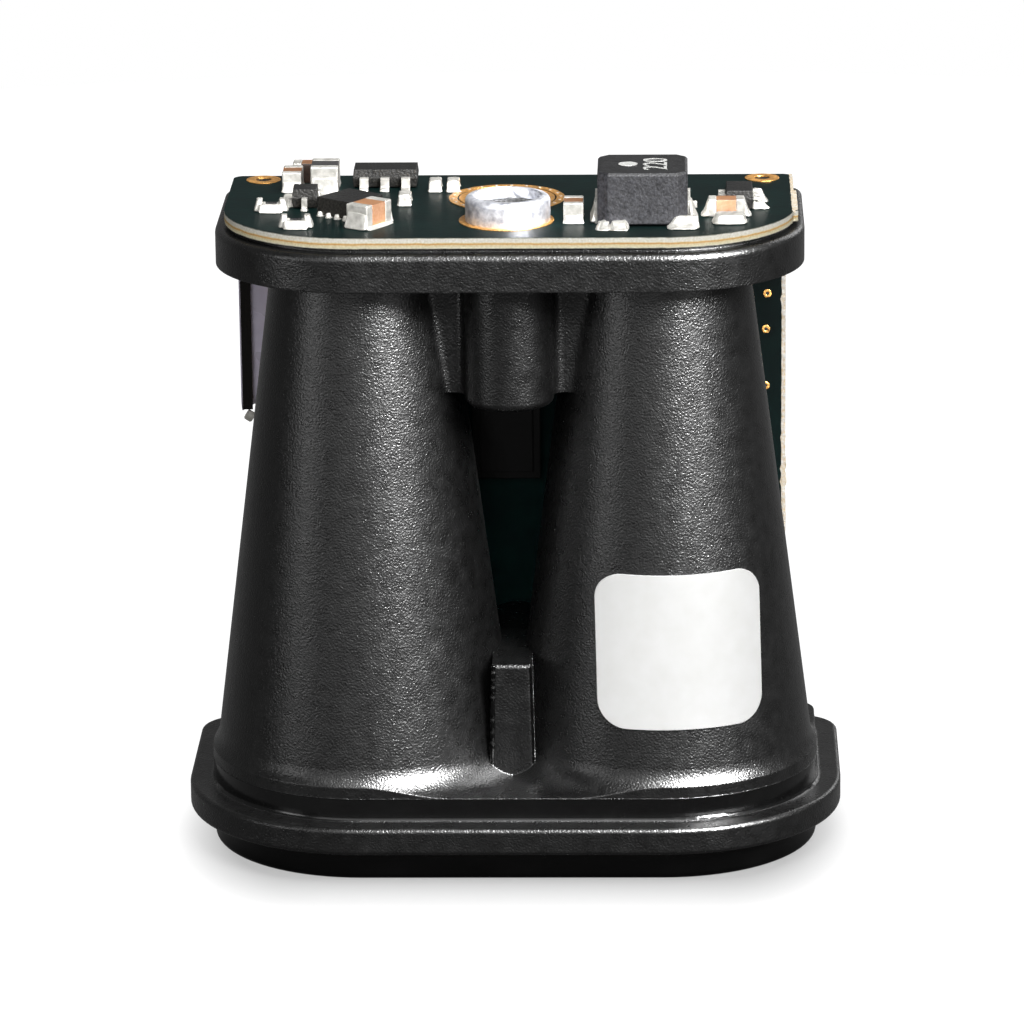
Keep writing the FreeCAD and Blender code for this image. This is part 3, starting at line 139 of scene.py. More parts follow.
def moulded_black():
    """Black glass-filled nylon from a spark-eroded mould.

    Its fine leather grain breaks a highlight into sparkles and leaves the rest satin. The
    mould's band round the plinth was polished, so it shows as a plain dark mirror. Grain
    this fine wouldn't show at the picture's size, so it is drawn about twice as coarse.
    """
    grain_size, grain_depth, edge = 0.09, 0.0095, 0.09
    material, tree = start_finish("spark_textured_nylon")
    place = add(tree, "TexCoord")["Object"]
    level = add(tree, "SeparateXYZ", {"Vector": place})["Z"]
    above = add(tree, "Math", {0: level, 1: PLINTH_BAND[0] * MM},
                operation="GREATER_THAN")[0]
    below = add(tree, "Math", {0: level, 1: PLINTH_BAND[1] * MM}, operation="LESS_THAN")[0]
    smooth = add(tree, "Math", {0: above, 1: below}, operation="MULTIPLY")[0]
    shown = add(tree, "Math", {0: smooth, 1: -0.9, 2: 1.0}, operation="MULTIPLY_ADD")[0]
    grain = add(tree, "Math", {0: varied(tree, grain_size, 0, 1, 1.5), 1: shown},
                operation="MULTIPLY")[0]
    soft = add(tree, "Bevel", {"Radius": edge * MM}, samples=6)["Normal"]
    satin = varied(tree, 0.6, 0.26, 0.32)
    return end_finish(material, add(tree, "BsdfPrincipled", {
        "Base Color": mottled(tree, 3.0, "#0a0a0a", "#101010"),
        "Roughness": add(tree, "Math", {0: smooth, 1: -0.13, 2: satin},
                         operation="MULTIPLY_ADD")[0],
        "IOR": 1.53,
        "Specular IOR Level": 0.25,
        "Normal": add(tree, "Bump", {"Height": grain, "Distance": grain_depth * MM,
                                     "Normal": soft})["Normal"],
    })["BSDF"])


def board_green(name, axis, edge_low, edge_high):
    """Glass epoxy board: dark green solder mask on its faces, pale laminate at its edges.

    The mask is a satin green so dark that it reads as black-green. The cut edge shows an
    amber resin line between two cream layers of glass cloth. The board's thickness runs
    along this axis, between these two levels in millimetres.
    """
    material, tree = start_finish(name)
    facing = add(tree, "SeparateXYZ", {"Vector": add(tree, "NewGeometry")["Normal"]})[axis]
    facing = add(tree, "Math", {0: facing}, operation="ABSOLUTE")[0]
    on_face = add(tree, "Math", {0: facing, 1: 0.5}, operation="GREATER_THAN")[0]
    place = add(tree, "TexCoord")["Object"]
    depth = add(tree, "SeparateXYZ", {"Vector": place})[axis]
    wander = add(tree, "Math", {0: depth, 1: varied(tree, 0.5, 0, 0.03 * MM, 3.0)})[0]
    share = add(tree, "MapRange", {"Value": wander, "From Min": edge_low * MM,
                                   "From Max": edge_high * MM})["Result"]
    layers = add(tree, "ValToRGB", {"Fac": share})["Color"]
    ramp = layers.node.color_ramp
    while len(ramp.elements) < len(LAMINATE):
        ramp.elements.new(0.5)
    for element, (position, code) in zip(ramp.elements, LAMINATE):
        element.position, element.color = position, linear(code)
    laminate = add(tree, "MixRGB", {
        "Fac": 0.45, "Color1": layers,
        "Color2": mottled(tree, 0.1, "#c9bd98", "#ffffff", 4.0)},
        blend_type="MULTIPLY")["Color"]
    return end_finish(material, add(tree, "BsdfPrincipled", {
        "Base Color": add(tree, "MixRGB", {
            "Fac": on_face, "Color1": laminate,
            "Color2": mottled(tree, 1.4, "#0b1c1c", "#0e2523")})["Color"],
        "Roughness": add(tree, "MapRange", {"Value": on_face, "To Min": 0.75,
                                            "To Max": 0.4})["Result"],
        "IOR": 1.55,
        "Specular IOR Level": 0.025,
        "Normal": add(tree, "Bump", {"Height": varied(tree, 0.25, 0, 1),
                                     "Distance": 0.002 * MM})["Normal"],
    })["BSDF"])


def clear(name, colour, ior):
    """A clear coated piece, which shows a sharp gleam and the dark behind it."""
    material, tree = start_finish(name)
    return end_finish(material, add(tree, "BsdfPrincipled", {
        "Base Color": linear(colour), "Roughness": 0.02, "IOR": ior,
        "Transmission Weight": 1.0,
    })["BSDF"])


BARE_METAL = {"Metallic": 1.0}
FINISHES = {
    # Textured nylon: satin black that sparkles where light falls on its grain
    "moulded_black": moulded_black(),
    # ABS from a polished mould: almost a black mirror, slightly wavy
    "bezel_black": surface("polished_abs", "#010101", "#020202", 1.5, 0.2, 0.008, edge=0.08,
                           more={"IOR": 1.5, "Specular IOR Level": 0.2}),
    # Moulded acrylic with a coat against glare: faintly blue, dark where its tunnel is
    "lens_clear": clear("coated_acrylic", "#f2f6fb", 1.49),
    # Polyester label film: an even white with a satin sheen
    "label_film": surface("polyester_film", "#f6f6f4", "#fafaf9", 0.8, 0.45, 0.002,
                          more={"IOR": 1.55, "Specular IOR Level": 0.1}),
    # Green mask on glass epoxy: black-green faces, cream edges with an amber line
    "driver_mask": board_green("solder_mask_level", "Z", 29.0, 29.5),
    # The same on the board that stands upright, counted from its back face
    "main_mask": board_green("solder_mask_upright", "Y", 8.0, 7.0),
    # Turned brass, dull tinned: silver with slate clouds and a soft sheen
    "tinned_post": surface("tinned_brass", "#90929a", "#d4d5d9", 0.3, 0.42, 0.005, edge=0.12,
                           more={"Metallic": 0.55}),
    # Gold over an iron alloy: a warm, smooth gleam
    "gold_can": surface("gilt_iron_alloy", "#dab870", "#e9ca84", 0.3, 0.25, 0.002,
                        more=BARE_METAL),
    # Flat glass soldered into a can: faintly green, with a sharp gleam
    "window_glass": clear("window_glass", "#e8f2f0", 1.52),
    # Iron powder in epoxy: slate with paler grains, its lacquered top nearly black
    "ferrite": surface("ferrite_and_epoxy", "#232326", "#56565c", 0.12, 0.5, 0.009,
                       top="#0a0a0a", edge=0.09, more={"Specular IOR Level": 0.12}),
    # Solder and plated ends after the oven: milky white silver with grey hollows
    "tin": surface("reflowed_tin", "#a3a19a", "#cfcdc7", 0.3, 0.5, 0.008, edge=0.06,
                   more={"Metallic": 0.12, "Specular IOR Level": 0.2}),
    # Silica-filled epoxy: charcoal with fine brown and grey specks
    "chip_epoxy": surface("filled_epoxy", "#0c0c0c", "#36342f", 0.1, 0.5, 0.014,
                          top="#131313", edge=0.07, more={"Specular IOR Level": 0.1}),
    # Fired ceramic with thin glaze: an even skin colour, with painted shade making its upward
    # faces tan
    "salmon_ceramic": surface("salmon_ceramic", "#f3aa77", "#ffc090", 0.12, 0.4, 0.004,
                              top="#b9752e"),
    # The same of another batch: dark brown, with painted light making its upward faces tan
    "brown_ceramic": surface("brown_ceramic", "#2b1d15", "#4a3324", 0.1, 0.4, 0.006,
                             top="#a5641c"),
    # The largest one: the same dark brown at its sides, with painted shade making its top ink
    # blue-black
    "brown_ceramic_painted_dark_top": surface("brown_ceramic_painted_dark_top", "#2b1d15", "#4a3324", 0.1, 0.4, 0.006,
                            top="#0c0c12"),
    # Glass glaze fired over a resistor: shiny black
    "resistor_glaze": surface("resistor_glaze", "#101012", "#1c1c1f", 0.1, 0.25, 0.004),
    # Zinc-plated steel: a cool grey gleam
    "screw_steel": surface("zinc_plated_steel", "#bbbdc1", "#cdcfd3", 0.3, 0.32, 0.003,
                           more=BARE_METAL),
    # Moulded nylon: matt black
    "black_nylon": surface("black_nylon", "#0e0e0e", "#191919", 0.15, 0.45, 0.008),
    # Gold over bronze springs and pins: a clean yellow gleam
    "gold_pin": surface("gilt_bronze", "#d8b15c", "#e6c274", 0.2, 0.26, 0.002,
                        more=BARE_METAL),
    # Thin gold on rough copper: ochre with brown clouds
    "pad_gold": surface("gilt_copper", "#8a5e26", "#cf9a4c", 0.14, 0.4, 0.01,
                        more={"Metallic": 0.6}),
    # Nickel over drawn steel: smooth, with a faint lilac cast
    "shell_steel": surface("nickel_plated_steel", "#ccc5d8", "#d6d0e2", 0.5, 0.3, 0.002,
                           edge=0.12, more={"Metallic": 0.2}),
    # Nickel-plated can: a warm grey gleam
    "nickel_can": surface("nickel_plated_can", "#bfbeba", "#d0cfcb", 0.3, 0.3, 0.003,
                          more=BARE_METAL),
    # Moulded epoxy, dyed: mustard yellow, matt
    "tantalum_yellow": surface("yellow_epoxy", "#c08a16", "#d6a026", 0.1, 0.45, 0.008),
    # Natural nylon: ivory, satin
    "ivory_nylon": surface("ivory_nylon", "#d3ccb7", "#e0dac8", 0.3, 0.45, 0.006),
    # Stamped ink: flat white
    "white_ink": surface("white_ink", "#dcdcd8", "#e8e8e4", 0.08, 0.5, 0.002),
    # Glass cloth torn at a break: pale fibres with amber resin between
    "glass_cloth": surface("torn_glass_cloth", "#cfae70", "#e9e4d6", 0.12, 0.7, 0.02),
    # Laminate scraped bare along an edge: cream with tan streaks
    "bare_edge": surface("bare_laminate", "#d8b87c", "#ece7da", 0.16, 0.6, 0.01),
    # Cast tin at the cup's floor: grey crumbs on near-black, the near-black being painted
    # shade in the cup
    "cup_floor_painted_shade": surface("cast_tin_painted_shade", "#0c0d0e", "#70706f", 0.14, 0.6, 0.03,
                         more={"Specular IOR Level": 0.1}),
    # Painted shade for unlit holes and gaps: near black
    "hole_shade": surface("painted_hole_shade", "#080706", "#120f0c", 0.1, 0.6, 0.002,
                          more={"Specular IOR Level": 0.1}),
}

# Nodes that differ from what their slot's other nodes carry. The timing chip takes the
# near-black bezel finish as painted shade, for it stands deep in the gap between the tubes
OWN_FINISH = {"driver_board": "driver_mask", "main_board": "main_mask",
              "timing_chip": "bezel_black", "bulk_capacitor": "brown_ceramic_painted_dark_top"}


def dress(thing, finish):
    """Give a node or piece one finish and nothing else."""
    thing.data.materials.clear()
    thing.data.materials.append(FINISHES[finish])


for entry in frame["record"]["subparts"]:
    dress(nodes[entry["node"]], OWN_FINISH.get(entry["node"], entry["material_slot"]))


# Pieces too small for the construction: pads, solder, marks, ragged edges and near-black
# patches of painted shade, with measures in millimetres


def corners(node):
    """A node's lowest and highest corner."""
    return [Vector(corner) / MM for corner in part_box(node)]


BOARD_TOP = corners("driver_board")[1].z
POST_LOW, POST_HIGH = corners("retaining_post")
POST_Y = (POST_LOW.y + POST_HIGH.y) / 2
LENS_X = sum(corner.x for corner in corners("receive_lens")) / 2
COPPER = 0.03                # how far a pad stands above its board
RING_PAD = (-0.15, 1.7)      # middle of the driver board's ring pad
CORNER_HOLE = (11.42, 5.55)  # middle of its right corner hole, mirrored on the left
CONVERTER = (-7.08, -1.33)   # middle of the converter chip
INK = 0.012                  # thickness of a white mark


def settle(name, mesh, finish, rounds=0):
    """Put a mesh in the scene as a piece that rides with the sensor."""
    piece = bpy.data.objects.new(name, mesh)
    scene.collection.objects.link(piece)
    if rounds:
        rounding = piece.modifiers.new("rounding", "SUBSURF")
        rounding.levels = rounding.render_levels = rounds
    dress(piece, finish)
    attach(piece, "root")


def keep(name, form, finish, rounds=0):
    """Turn a form drawn in millimetres into a piece, smooth where it is rounded."""
    bmesh.ops.scale(form, vec=(MM, MM, MM), verts=form.verts)
    bmesh.ops.recalc_face_normals(form, faces=form.faces)
    mesh = bpy.data.meshes.new(name)
    form.to_mesh(mesh)
    form.free()
    mesh.polygons.foreach_set("use_smooth", [rounds > 0] * len(mesh.polygons))
    settle(name, mesh, finish, rounds)


def skin(form, first, second):
    """Faces between one ring of corners and the next."""
    for place in range(len(first)):
        form.faces.new((first[place - 1], first[place], second[place], second[place - 1]))


def loft(form, rings, around=False):
    """Skin a row of rings of points, closed at both ends, or into a loop."""
    rows = [[form.verts.new(point) for point in ring] for ring in rings]
    for first, second in zip(rows, rows[1:] + rows[:1] if around else rows[1:]):
        skin(form, first, second)
    if not around:
        form.faces.new(rows[0])
        form.faces.new(rows[-1])


def turns(count):
    """This many angles all the way round, in radians."""
    return [math.tau * step / count for step in range(count)]


def circle(x, y, z, radius, count=48):
    """Points round a level circle."""
    return [Vector((x + radius * math.cos(turn), y + radius * math.sin(turn), z))
            for turn in turns(count)]


def washer(form, x, y, inner, outer, low, high):
    """A flat ring between two levels, or a disc where the inner radius is nought."""
    if inner:
        loft(form, [circle(x, y, low, inner), circle(x, y, low, outer),
                    circle(x, y, high, outer), circle(x, y, high, inner)], around=True)
    else:
        loft(form, [circle(x, y, low, outer), circle(x, y, high, outer)])


def make_pads():
    """The driver board's gold pads and plated corner holes, with near-black discs of painted
    shade inside the holes, and the ring pad's vias.
    """
    foot, low, high = corners("driver_board")[0].z, BOARD_TOP, BOARD_TOP + COPPER
    pads, painted_shades, vias = bmesh.new(), bmesh.new(), bmesh.new()
    washer(pads, -0.06, POST_Y - 0.06, 1.7, 2.12, low, high)
    washer(pads, *RING_PAD, 2.25, 2.63, low, high)
    washer(pads, *RING_PAD, 0, 2.17, low, high)
    for side in (-1, 1):
        hole = CORNER_HOLE[0] * side, CORNER_HOLE[1]
        washer(pads, *hole, 0.37, 0.785, low, high)
        washer(pads, *hole, 0.37, 0.41, foot, low)
        # A near-black disc just under the board's top in each corner hole: painted shade
        washer(painted_shades, *hole, 0, 0.38, low - 0.04, low - 0.02)
    count, spread = 22, 2.44
    for step in range(count):
        turn = math.tau * (step + 0.3) / count
        washer(vias, RING_PAD[0] + spread * math.cos(turn),
               RING_PAD[1] + spread * math.sin(turn), 0, 0.07, high, high + 0.02)
    keep("board_pads", pads, "pad_gold")
    keep("corner_hole_painted_shades", painted_shades, "hole_shade")
    keep("ring_pad_vias", vias, "tin")


def make_vias():
    """Plated holes near the main board's right edge, and zigzag rows on its back, each hole
    filled with a near-black disc of painted shade.

    They are drawn lying flat and then stood up: what is drawn at x and -z, on level y,
    ends at x, y and z.
    """
    hole, rim = 0.08, 0.19
    near_edge = ((11.7, 23.7), (11.64, 22.0), (11.62, 19.3))
    front, back = (corner.y for corner in corners("main_board"))
    spots = [(x, z, face) for face in (front, back) for x, z in near_edge]
    for x, apart, z, zigzag, count in (
            (-6.6, -0.9, 16.2, -0.35, 5), (-4.6, 0.8, 26.4, 0.3, 9),
            (6.9, 0.75, 10.6, -0.4, 6), (-9.8, 1.1, 7.2, 0.5, 7)):
        spots += [(x + apart * step, z + zigzag * (step % 2), back) for step in range(count)]
    rings, holes = bmesh.new(), bmesh.new()
    for x, z, face in spots:
        proud = COPPER if face == back else -COPPER
        washer(rings, x, -z, hole, rim, *sorted((face, face + proud)))
        # Each hole is a near-black disc: painted shade inside it
        washer(holes, x, -z, 0, hole, *sorted((face, face + proud / 2)))
    for form in (rings, holes):
        bmesh.ops.transform(form, matrix=Matrix.Rotation(math.radians(-90), 4, "X"),
                            verts=form.verts)
    keep("main_board_vias", rings, "pad_gold")
    keep("via_hole_painted_shades", holes, "hole_shade")


def rounded(box, level, count=20):
    """Points round a soft-cornered box: (back, out, left, right) about the start."""
    back, out, left, right = box
    middle_u, half_u = (out - back) / 2, (out + back) / 2
    middle_v, half_v = (right - left) / 2, (left + right) / 2
    points = []
    for turn in turns(count):
        u, v = (math.copysign(abs(wave) ** 0.5, wave)
                for wave in (math.cos(turn), math.sin(turn)))
        points.append(Vector((middle_u + half_u * u, middle_v + half_v * v, level)))
    return points


def heap(form, at, turn, foot, top, height, shape=0.5, ragged=0.02):
    """A lump of solder on the board, reaching out from a point in one direction.

    Foot and top are boxes (back, out, left, right). A shape below one spreads like a
    skirt, above one it bulges like a dome. Ragged is how far its surface strays.
    """
    move = Matrix.Translation((at[0], at[1], BOARD_TOP)) @ Matrix.Rotation(
        math.radians(turn), 4, "Z")
    rings = []
    for share in (0, 0.15, 0.5, 0.88, 1.0):
        ring = []
        for low, high in zip(rounded(foot, 0), rounded(top, height)):
            spot = low.lerp(high, share ** shape)
            spot.z = height * share
            if share:
                spot += Vector([chance.uniform(-ragged, ragged) for _axis in range(3)])
            ring.append(move @ spot)
        rings.append(ring)
    loft(form, rings)


def chip_solder(form, x, y, turn, long, half, height, out):
    """Skirts of solder at both ends of a chip of this length and half width."""
    for way in (0, 180):
        course = math.radians(turn + way)
        end_at = (x + long / 2 * math.cos(course), y + long / 2 * math.sin(course))
        heap(form, end_at, turn + way, (0.1, out, half + 0.08, half + 0.08),
             (0.06, 0.03, half * 0.92, half * 0.92), height, 0.42)


def resistor_solder(form, x, y):
    """A small resistor drowned in solder, with a horn at each end."""
    for way, side in ((0, 1), (180, -1)):
        heap(form, (x + 0.5 * side, y), way, (0.12, 0.3, 0.4, 0.4), (0.12, 0.12, 0.2, 0.2),
             0.58, 1.0)
    heap(form, (x, y - 0.3), -90, (0.0, 0.42, 0.56, 0.56), (0.0, 0.16, 0.52, 0.52), 0.38, 1.0)


# Capacitors: x, y, turn, length, half width, height of the solder, reach of the solder
PULSE_CAPACITOR = (-6.13, -3.5, 56, 1.85, 0.57, 0.75, 0.26)
OTHER_CAPACITORS = (
    (-8.45, 3.42, 90, 1.9, 0.62, 0.8, 0.24),      # bulk
    (-9.96, 3.74, 90, 1.6, 0.44, 0.5, 0.26),      # filter, left
    (-9.22, 5.3, 0, 1.6, 0.44, 0.5, 0.24),        # filter, behind it
    (2.93, -2.6, 90, 1.6, 0.44, 0.4, 0.16),       # filter, right of the post
    (9.72, -1.8, 0, 1.6, 0.46, 0.74, 0.42),       # snubber
)
BYPASS_CAPACITORS = ((-3.45, 3.45), (-2.63, 3.45), (-4.72, 0.7))
LEFT_RESISTORS = ((-10.67, -0.55), (-9.37, -3.75))

# Lumps: place, turn, foot, top, height, shape, raggedness
RESISTOR_AND_DIODE_LUMPS = (
    # over the right resistor
    ((9.9, -3.0), -90, (0.35, 0.85, 0.88, 0.78), (0.3, 0.6, 0.66, 0.6), 0.42, 0.8, 0.03),
    # on the bare pad behind the gate diode, and on the diode's leads
    ((-9.95, 2.2), -90, (0.0, 0.95, 0.36, 0.36), (0.0, 0.85, 0.3, 0.3), 0.13, 1.0, 0.02),
    ((-9.95, 0.35), -90, (0.3, 0.5, 0.3, 0.3), (0.2, 0.2, 0.12, 0.12), 0.36, 0.8, 0.04),
    ((-8.52, -0.1), -90, (0.35, 0.3, 0.1, 0.1), (0.25, 0.2, 0.06, 0.06), 0.84, 1.0, 0.02),
)
INDUCTOR_LUMPS = (
    # two along the front of its left terminal, one along the front of its right one
    ((4.3, -3.95), -90, (0.1, 0.95, 0.4, 0.35), (0.1, 0.3, 0.25, 0.2), 0.26, 0.8, 0.07),
    ((5.0, -3.95), -90, (0.1, 1.05, 0.5, 0.45), (0.1, 0.35, 0.35, 0.3), 0.3, 0.7, 0.07),
    ((7.75, -3.95), -90, (0.1, 0.9, 0.8, 0.8), (0.1, 0.15, 0.3, 0.7), 0.5, 0.6, 0.05),
    # skirts up its right and left terminals
    ((8.1, -2.9), 0, (0.1, 0.42, 0.9, 1.6), (0.05, 0.08, 0.5, 0.9), 0.9, 0.6, 0.05),
    ((3.9, -2.3), 180, (0.1, 0.3, 1.2, 1.2), (0.05, 0.05, 0.9, 0.9), 0.8, 0.6, 0.05),
    # a bead at its back right
    ((8.32, -0.4), 0, (0.12,) * 4, (0.1,) * 4, 0.33, 1.6, 0.0),
)


def make_driver_solder():
    """Solder joints of the driver board, each where the hand or the oven left it."""
    form = bmesh.new()
    chip_solder(form, *PULSE_CAPACITOR)
    heap(form, (-5.65, -3.82), -34, (0.1, 0.22, 0.95, 0.95), (0.05, 0.0, 0.9, 0.9), 0.14)
    for capacitor in OTHER_CAPACITORS:
        chip_solder(form, *capacitor)
    for x, y in BYPASS_CAPACITORS:
        chip_solder(form, x, y, 90, 1.0, 0.29, 0.42, 0.2)
        heap(form, (x, y), 90, (0.46, 0.46, 0.3, 0.3), (0.42, 0.42, 0.26, 0.26), 0.53, 1.2)
    for x, y in LEFT_RESISTORS:
        resistor_solder(form, x, y)
    for lump in RESISTOR_AND_DIODE_LUMPS:
        heap(form, *lump)
    # three front leads of the charge switch, the last one on a long pad
    for place, out in enumerate((0.16, 0.2, 1.75)):
        heap(form, (-6.7 + 0.95 * place, 3.14), -90, (0.1, out, 0.24, 0.24),
             (0.05, out * 0.85, 0.17, 0.17), 0.15, 0.8)
    # the gate diode's front lead
    heap(form, (-9.18, -0.6), -90, (0.1, 0.3, 0.2, 0.2), (0.05, 0.12, 0.12, 0.12), 0.14)
    # three spiky joints right of the clamp diode
    for place, (out, height) in enumerate(((0.75, 0.34), (0.5, 0.5), (0.72, 0.62))):
        heap(form, (10.98, -0.53 + 0.65 * place), 0, (0.1, out, 0.3, 0.3),
             (0.05, out * 0.45, 0.14, 0.16), height, 0.8, 0.06)
    for lump in INDUCTOR_LUMPS:
        heap(form, *lump)
    # four beads in front of the converter chip, which stands askew
    askew = Matrix.Rotation(math.radians(-38), 2)
    for along in (-0.75, -0.25, 0.25, 0.75):
        at = Vector(CONVERTER) + askew @ Vector((along, -1.2))
        heap(form, at, 0, (0.14,) * 4, (0.08,) * 4, 0.24, 1.8, 0.0)
    keep("driver_board_solder", form, "tin", rounds=2)


def make_cup():
    """The rough cast floor, painted near black as shade, and the knurled wall inside the
    post's cup.
    """
    rim, depth, radius, gap = POST_HIGH.z, 0.52, 1.52, 0.02
    bottom = rim - depth
    form = bmesh.new()
    centre = form.verts.new((0, POST_Y, bottom + 0.05))
    rings = 16
    rows = []
    for step in range(1, rings + 1):
        rows.append([form.verts.new(spot + Vector((0, 0, chance.uniform(0.01, 0.11))))
                     for spot in circle(0, POST_Y, bottom, radius * step / rings, 56)])
    for first, second in zip(rows, rows[1:]):
        skin(form, first, second)
    for place in range(len(rows[0])):
        form.faces.new((centre, rows[0][place - 1], rows[0][place]))
    keep("cup_floor_painted_shade", form, "cup_floor_painted_shade", rounds=1)
    form = bmesh.new()
    wall = []
    for level in (0.0, 0.2, 0.36, depth - 0.03):
        ring = circle(0, POST_Y, bottom + level, radius, 40)
        wall.append([spot + Vector((-spot.x, POST_Y - spot.y, 0)).normalized()
                     * chance.uniform(0.0, 0.12) * (1 - level / depth) for spot in ring])
    loft(form, wall + [circle(0, POST_Y, rim - 0.03, radius + gap, 40),
                       circle(0, POST_Y, bottom, radius + gap, 40)], around=True)
    keep("cup_wall", form, "tinned_post")


def twin_path(reach, back, corner, step=0.12):
    """Points with their outward direction, round both lens axes and square at the back."""
    path = []
    quarters = ((-LENS_X, 0, reach, 180), (LENS_X, 0, reach, 270),
                (LENS_X + reach - corner, back - corner, corner, 0),
                (corner - LENS_X - reach, back - corner, corner, 90))
    for x, y, radius, begin in quarters:
        count = max(2, round(radius * math.pi / 2 / step))
        for place in range(count + 1):
            turn = math.radians(begin + 90 * place / count)
            out = Vector((math.cos(turn), math.sin(turn), 0))
            path.append((Vector((x, y, 0)) + out * radius, out))
    full = []
    for (first, out), (second, _out) in zip(path, path[1:] + path[:1]):
        count = max(1, round((second - first).length / step))
        full += [(first.lerp(second, place / count), out) for place in range(count)]
    return full


def ridge(name, reach, back, corner, level, size, ragged):
    """A fine raised line of plastic round the housing, as a mould's joint leaves it."""
    form = bmesh.new()
    up = Vector((0, 0, 1))
    rings = []
    for spot, out in twin_path(reach, back, corner):
        radius = size * chance.uniform(1 - ragged, 1 + ragged)
        rings.append([spot + up * level + out * (math.cos(turn) * radius)
                      + up * (math.sin(turn) * radius) for turn in turns(6)])
    loft(form, rings, around=True)
    keep(name, form, "moulded_black", rounds=1)


def make_ridges():
    """The flange's flash and the plinth's two mould lines."""
    low, high = corners("optics_housing")
    reach = high.x - LENS_X
    for name, inset, back_inset, corner, rise, size, ragged in (
            ("flange_flash", 0.2, 0.2, 1.7, 0.01, 0.03, 0.6),
            ("plinth_seam", 1.09, 1.24, 1.4, 1.26, 0.02, 0.6),
            ("plinth_edge", 1.12, 1.27, 1.4, 2.33, 0.035, 0.3)):
        ridge(name, reach - inset, high.y - back_inset, corner, low.z + rise, size, ragged)


def make_rib_edges():
    """The uneven round edges on the front of the centre rib, which catch a line of light.

    The rib narrows upwards, and so the edges lean in. The left one is the thicker.
    """
    foot, high, front = corners("optics_housing")[0].z + 2.95, 4.65, -3.83
    half_width, lean, count = 0.94, 0.12, 40
    form = bmesh.new()
    for side, radius in ((-1, 0.12), (1, 0.07)):
        rings = []
        for step in range(count):
            share = step / (count - 1)
            bulge = radius * chance.uniform(0.75, 1.1)
            rings.append(circle(side * (half_width - lean * share), front,
                                foot + high * share, bulge, 12))
        loft(form, rings)
    keep("rib_edges", form, "bezel_black")


def make_coil_marks():
    """White ink on the inductor: a dot and plain numbers."""
    top = corners("power_inductor")[1].z
    form = bmesh.new()
    washer(form, 5.35, -2.1, 0, 0.43, top, top + INK)
    keep("inductor_dot", form, "white_ink")
    writing = bpy.data.curves.new("numbers", "FONT")
    writing.body = "220"
    writing.size = 1.55 * MM
    writing.align_x, writing.align_y = "CENTER", "CENTER"
    writing.extrude = INK / 2 * MM
    writer = bpy.data.objects.new("writer", writing)
    writer.rotation_euler = (0, 0, math.radians(90))
    writer.location = Vector((6.62, -2.12, top + INK / 2)) * MM
    scene.collection.objects.link(writer)
    bpy.context.view_layer.update()
    mesh = bpy.data.meshes.new_from_object(writer.evaluated_get(
        bpy.context.evaluated_depsgraph_get()))
    mesh.transform(writer.matrix_world)
    bpy.data.objects.remove(writer)
    settle("inductor_numbers", mesh, "white_ink")


def make_torn_edge():
    """Tufts of glass cloth where the main board was snapped out of its panel."""
    side = corners("main_board")[1].x
    front, back = (corner.y for corner in corners("main_board"))
    form = bmesh.new()
    for low, high, out in ((15.15, 15.75, 0.14), (14.35, 14.95, 0.15), (11.6, 14.2, 0.06),
                           (23.3, 23.5, 0.04), (16.65, 16.85, 0.05)):
        steps = max(3, round((high - low) / 0.12))
        rings = []
        for step in range(steps + 1):
            swell = math.sin(math.pi * (step + 0.15) / (steps + 0.3))
            reach = side + out * swell * chance.uniform(0.55, 1.0)
            level = low + (high - low) * step / steps
            rings.append([Vector((side - 0.05, front + 0.04, level)),
                          Vector((reach, front + 0.1, level)),
                          Vector((reach * 0.3 + side * 0.7, (front + back) / 2, level)),
                          Vector((reach, back - 0.12, level)),
                          Vector((side - 0.05, back - 0.04, level))])
        loft(form, rings)
    keep("main_board_torn_edge", form, "glass_cloth", rounds=1)


def make_main_bare_edge():
    """The strip without mask down the main board's right edge, notched at its breaks."""
    wide, thick, count = 0.19, 0.02, 110
    low, high = corners("main_board")
    front, side, outer = low.y, high.x, high.x - 0.005
    rings = []
    for step in range(count):
        level = low.z + 0.4 + (high.z - low.z - 0.5) * step / (count - 1)
        inner = side - wide + chance.uniform(-0.012, 0.012)
        for notch in (23.4, 16.75, 15.3, 14.6):
            inner -= 0.06 * math.exp(-((level - notch) / 0.12) ** 2)
        rings.append([Vector((x, y, level)) for x, y in (
            (inner, front), (outer, front), (outer, front - thick), (inner, front - thick))])
    form = bmesh.new()
    loft(form, rings)
    keep("main_board_bare_edge", form, "bare_edge")


def make_driver_bare_edge():
    """The strip without mask along the driver board's right edge.

    The board stands out between y = -0.9 and 2.9, and forward of that its corner curves
    away, so there the strip narrows.
    """
    wide, thick, count = 0.27, 0.02, 60
    tab_front, tab_back = -0.9, 2.9
    side = corners("driver_board")[1].x
    rings = []
    for step in range(count):
        y = 6.3 - 8.1 * step / (count - 1)
        outer = side - (0.0 if tab_front < y < tab_back else 0.12) - 0.006
        inner = side - wide + chance.uniform(-0.02, 0.02)
        if y < tab_front:
            inner = side - wide + 0.16 * ((tab_front - y) / 0.9) ** 1.5
            outer -= 0.02 * (tab_front - y) ** 2
        rings.append([Vector((x, y, z)) for x, z in (
            (inner, BOARD_TOP), (outer, BOARD_TOP),
            (outer, BOARD_TOP + thick), (inner, BOARD_TOP + thick))])
    form = bmesh.new()
    loft(form, rings)
    keep("driver_board_bare_edge", form, "bare_edge")


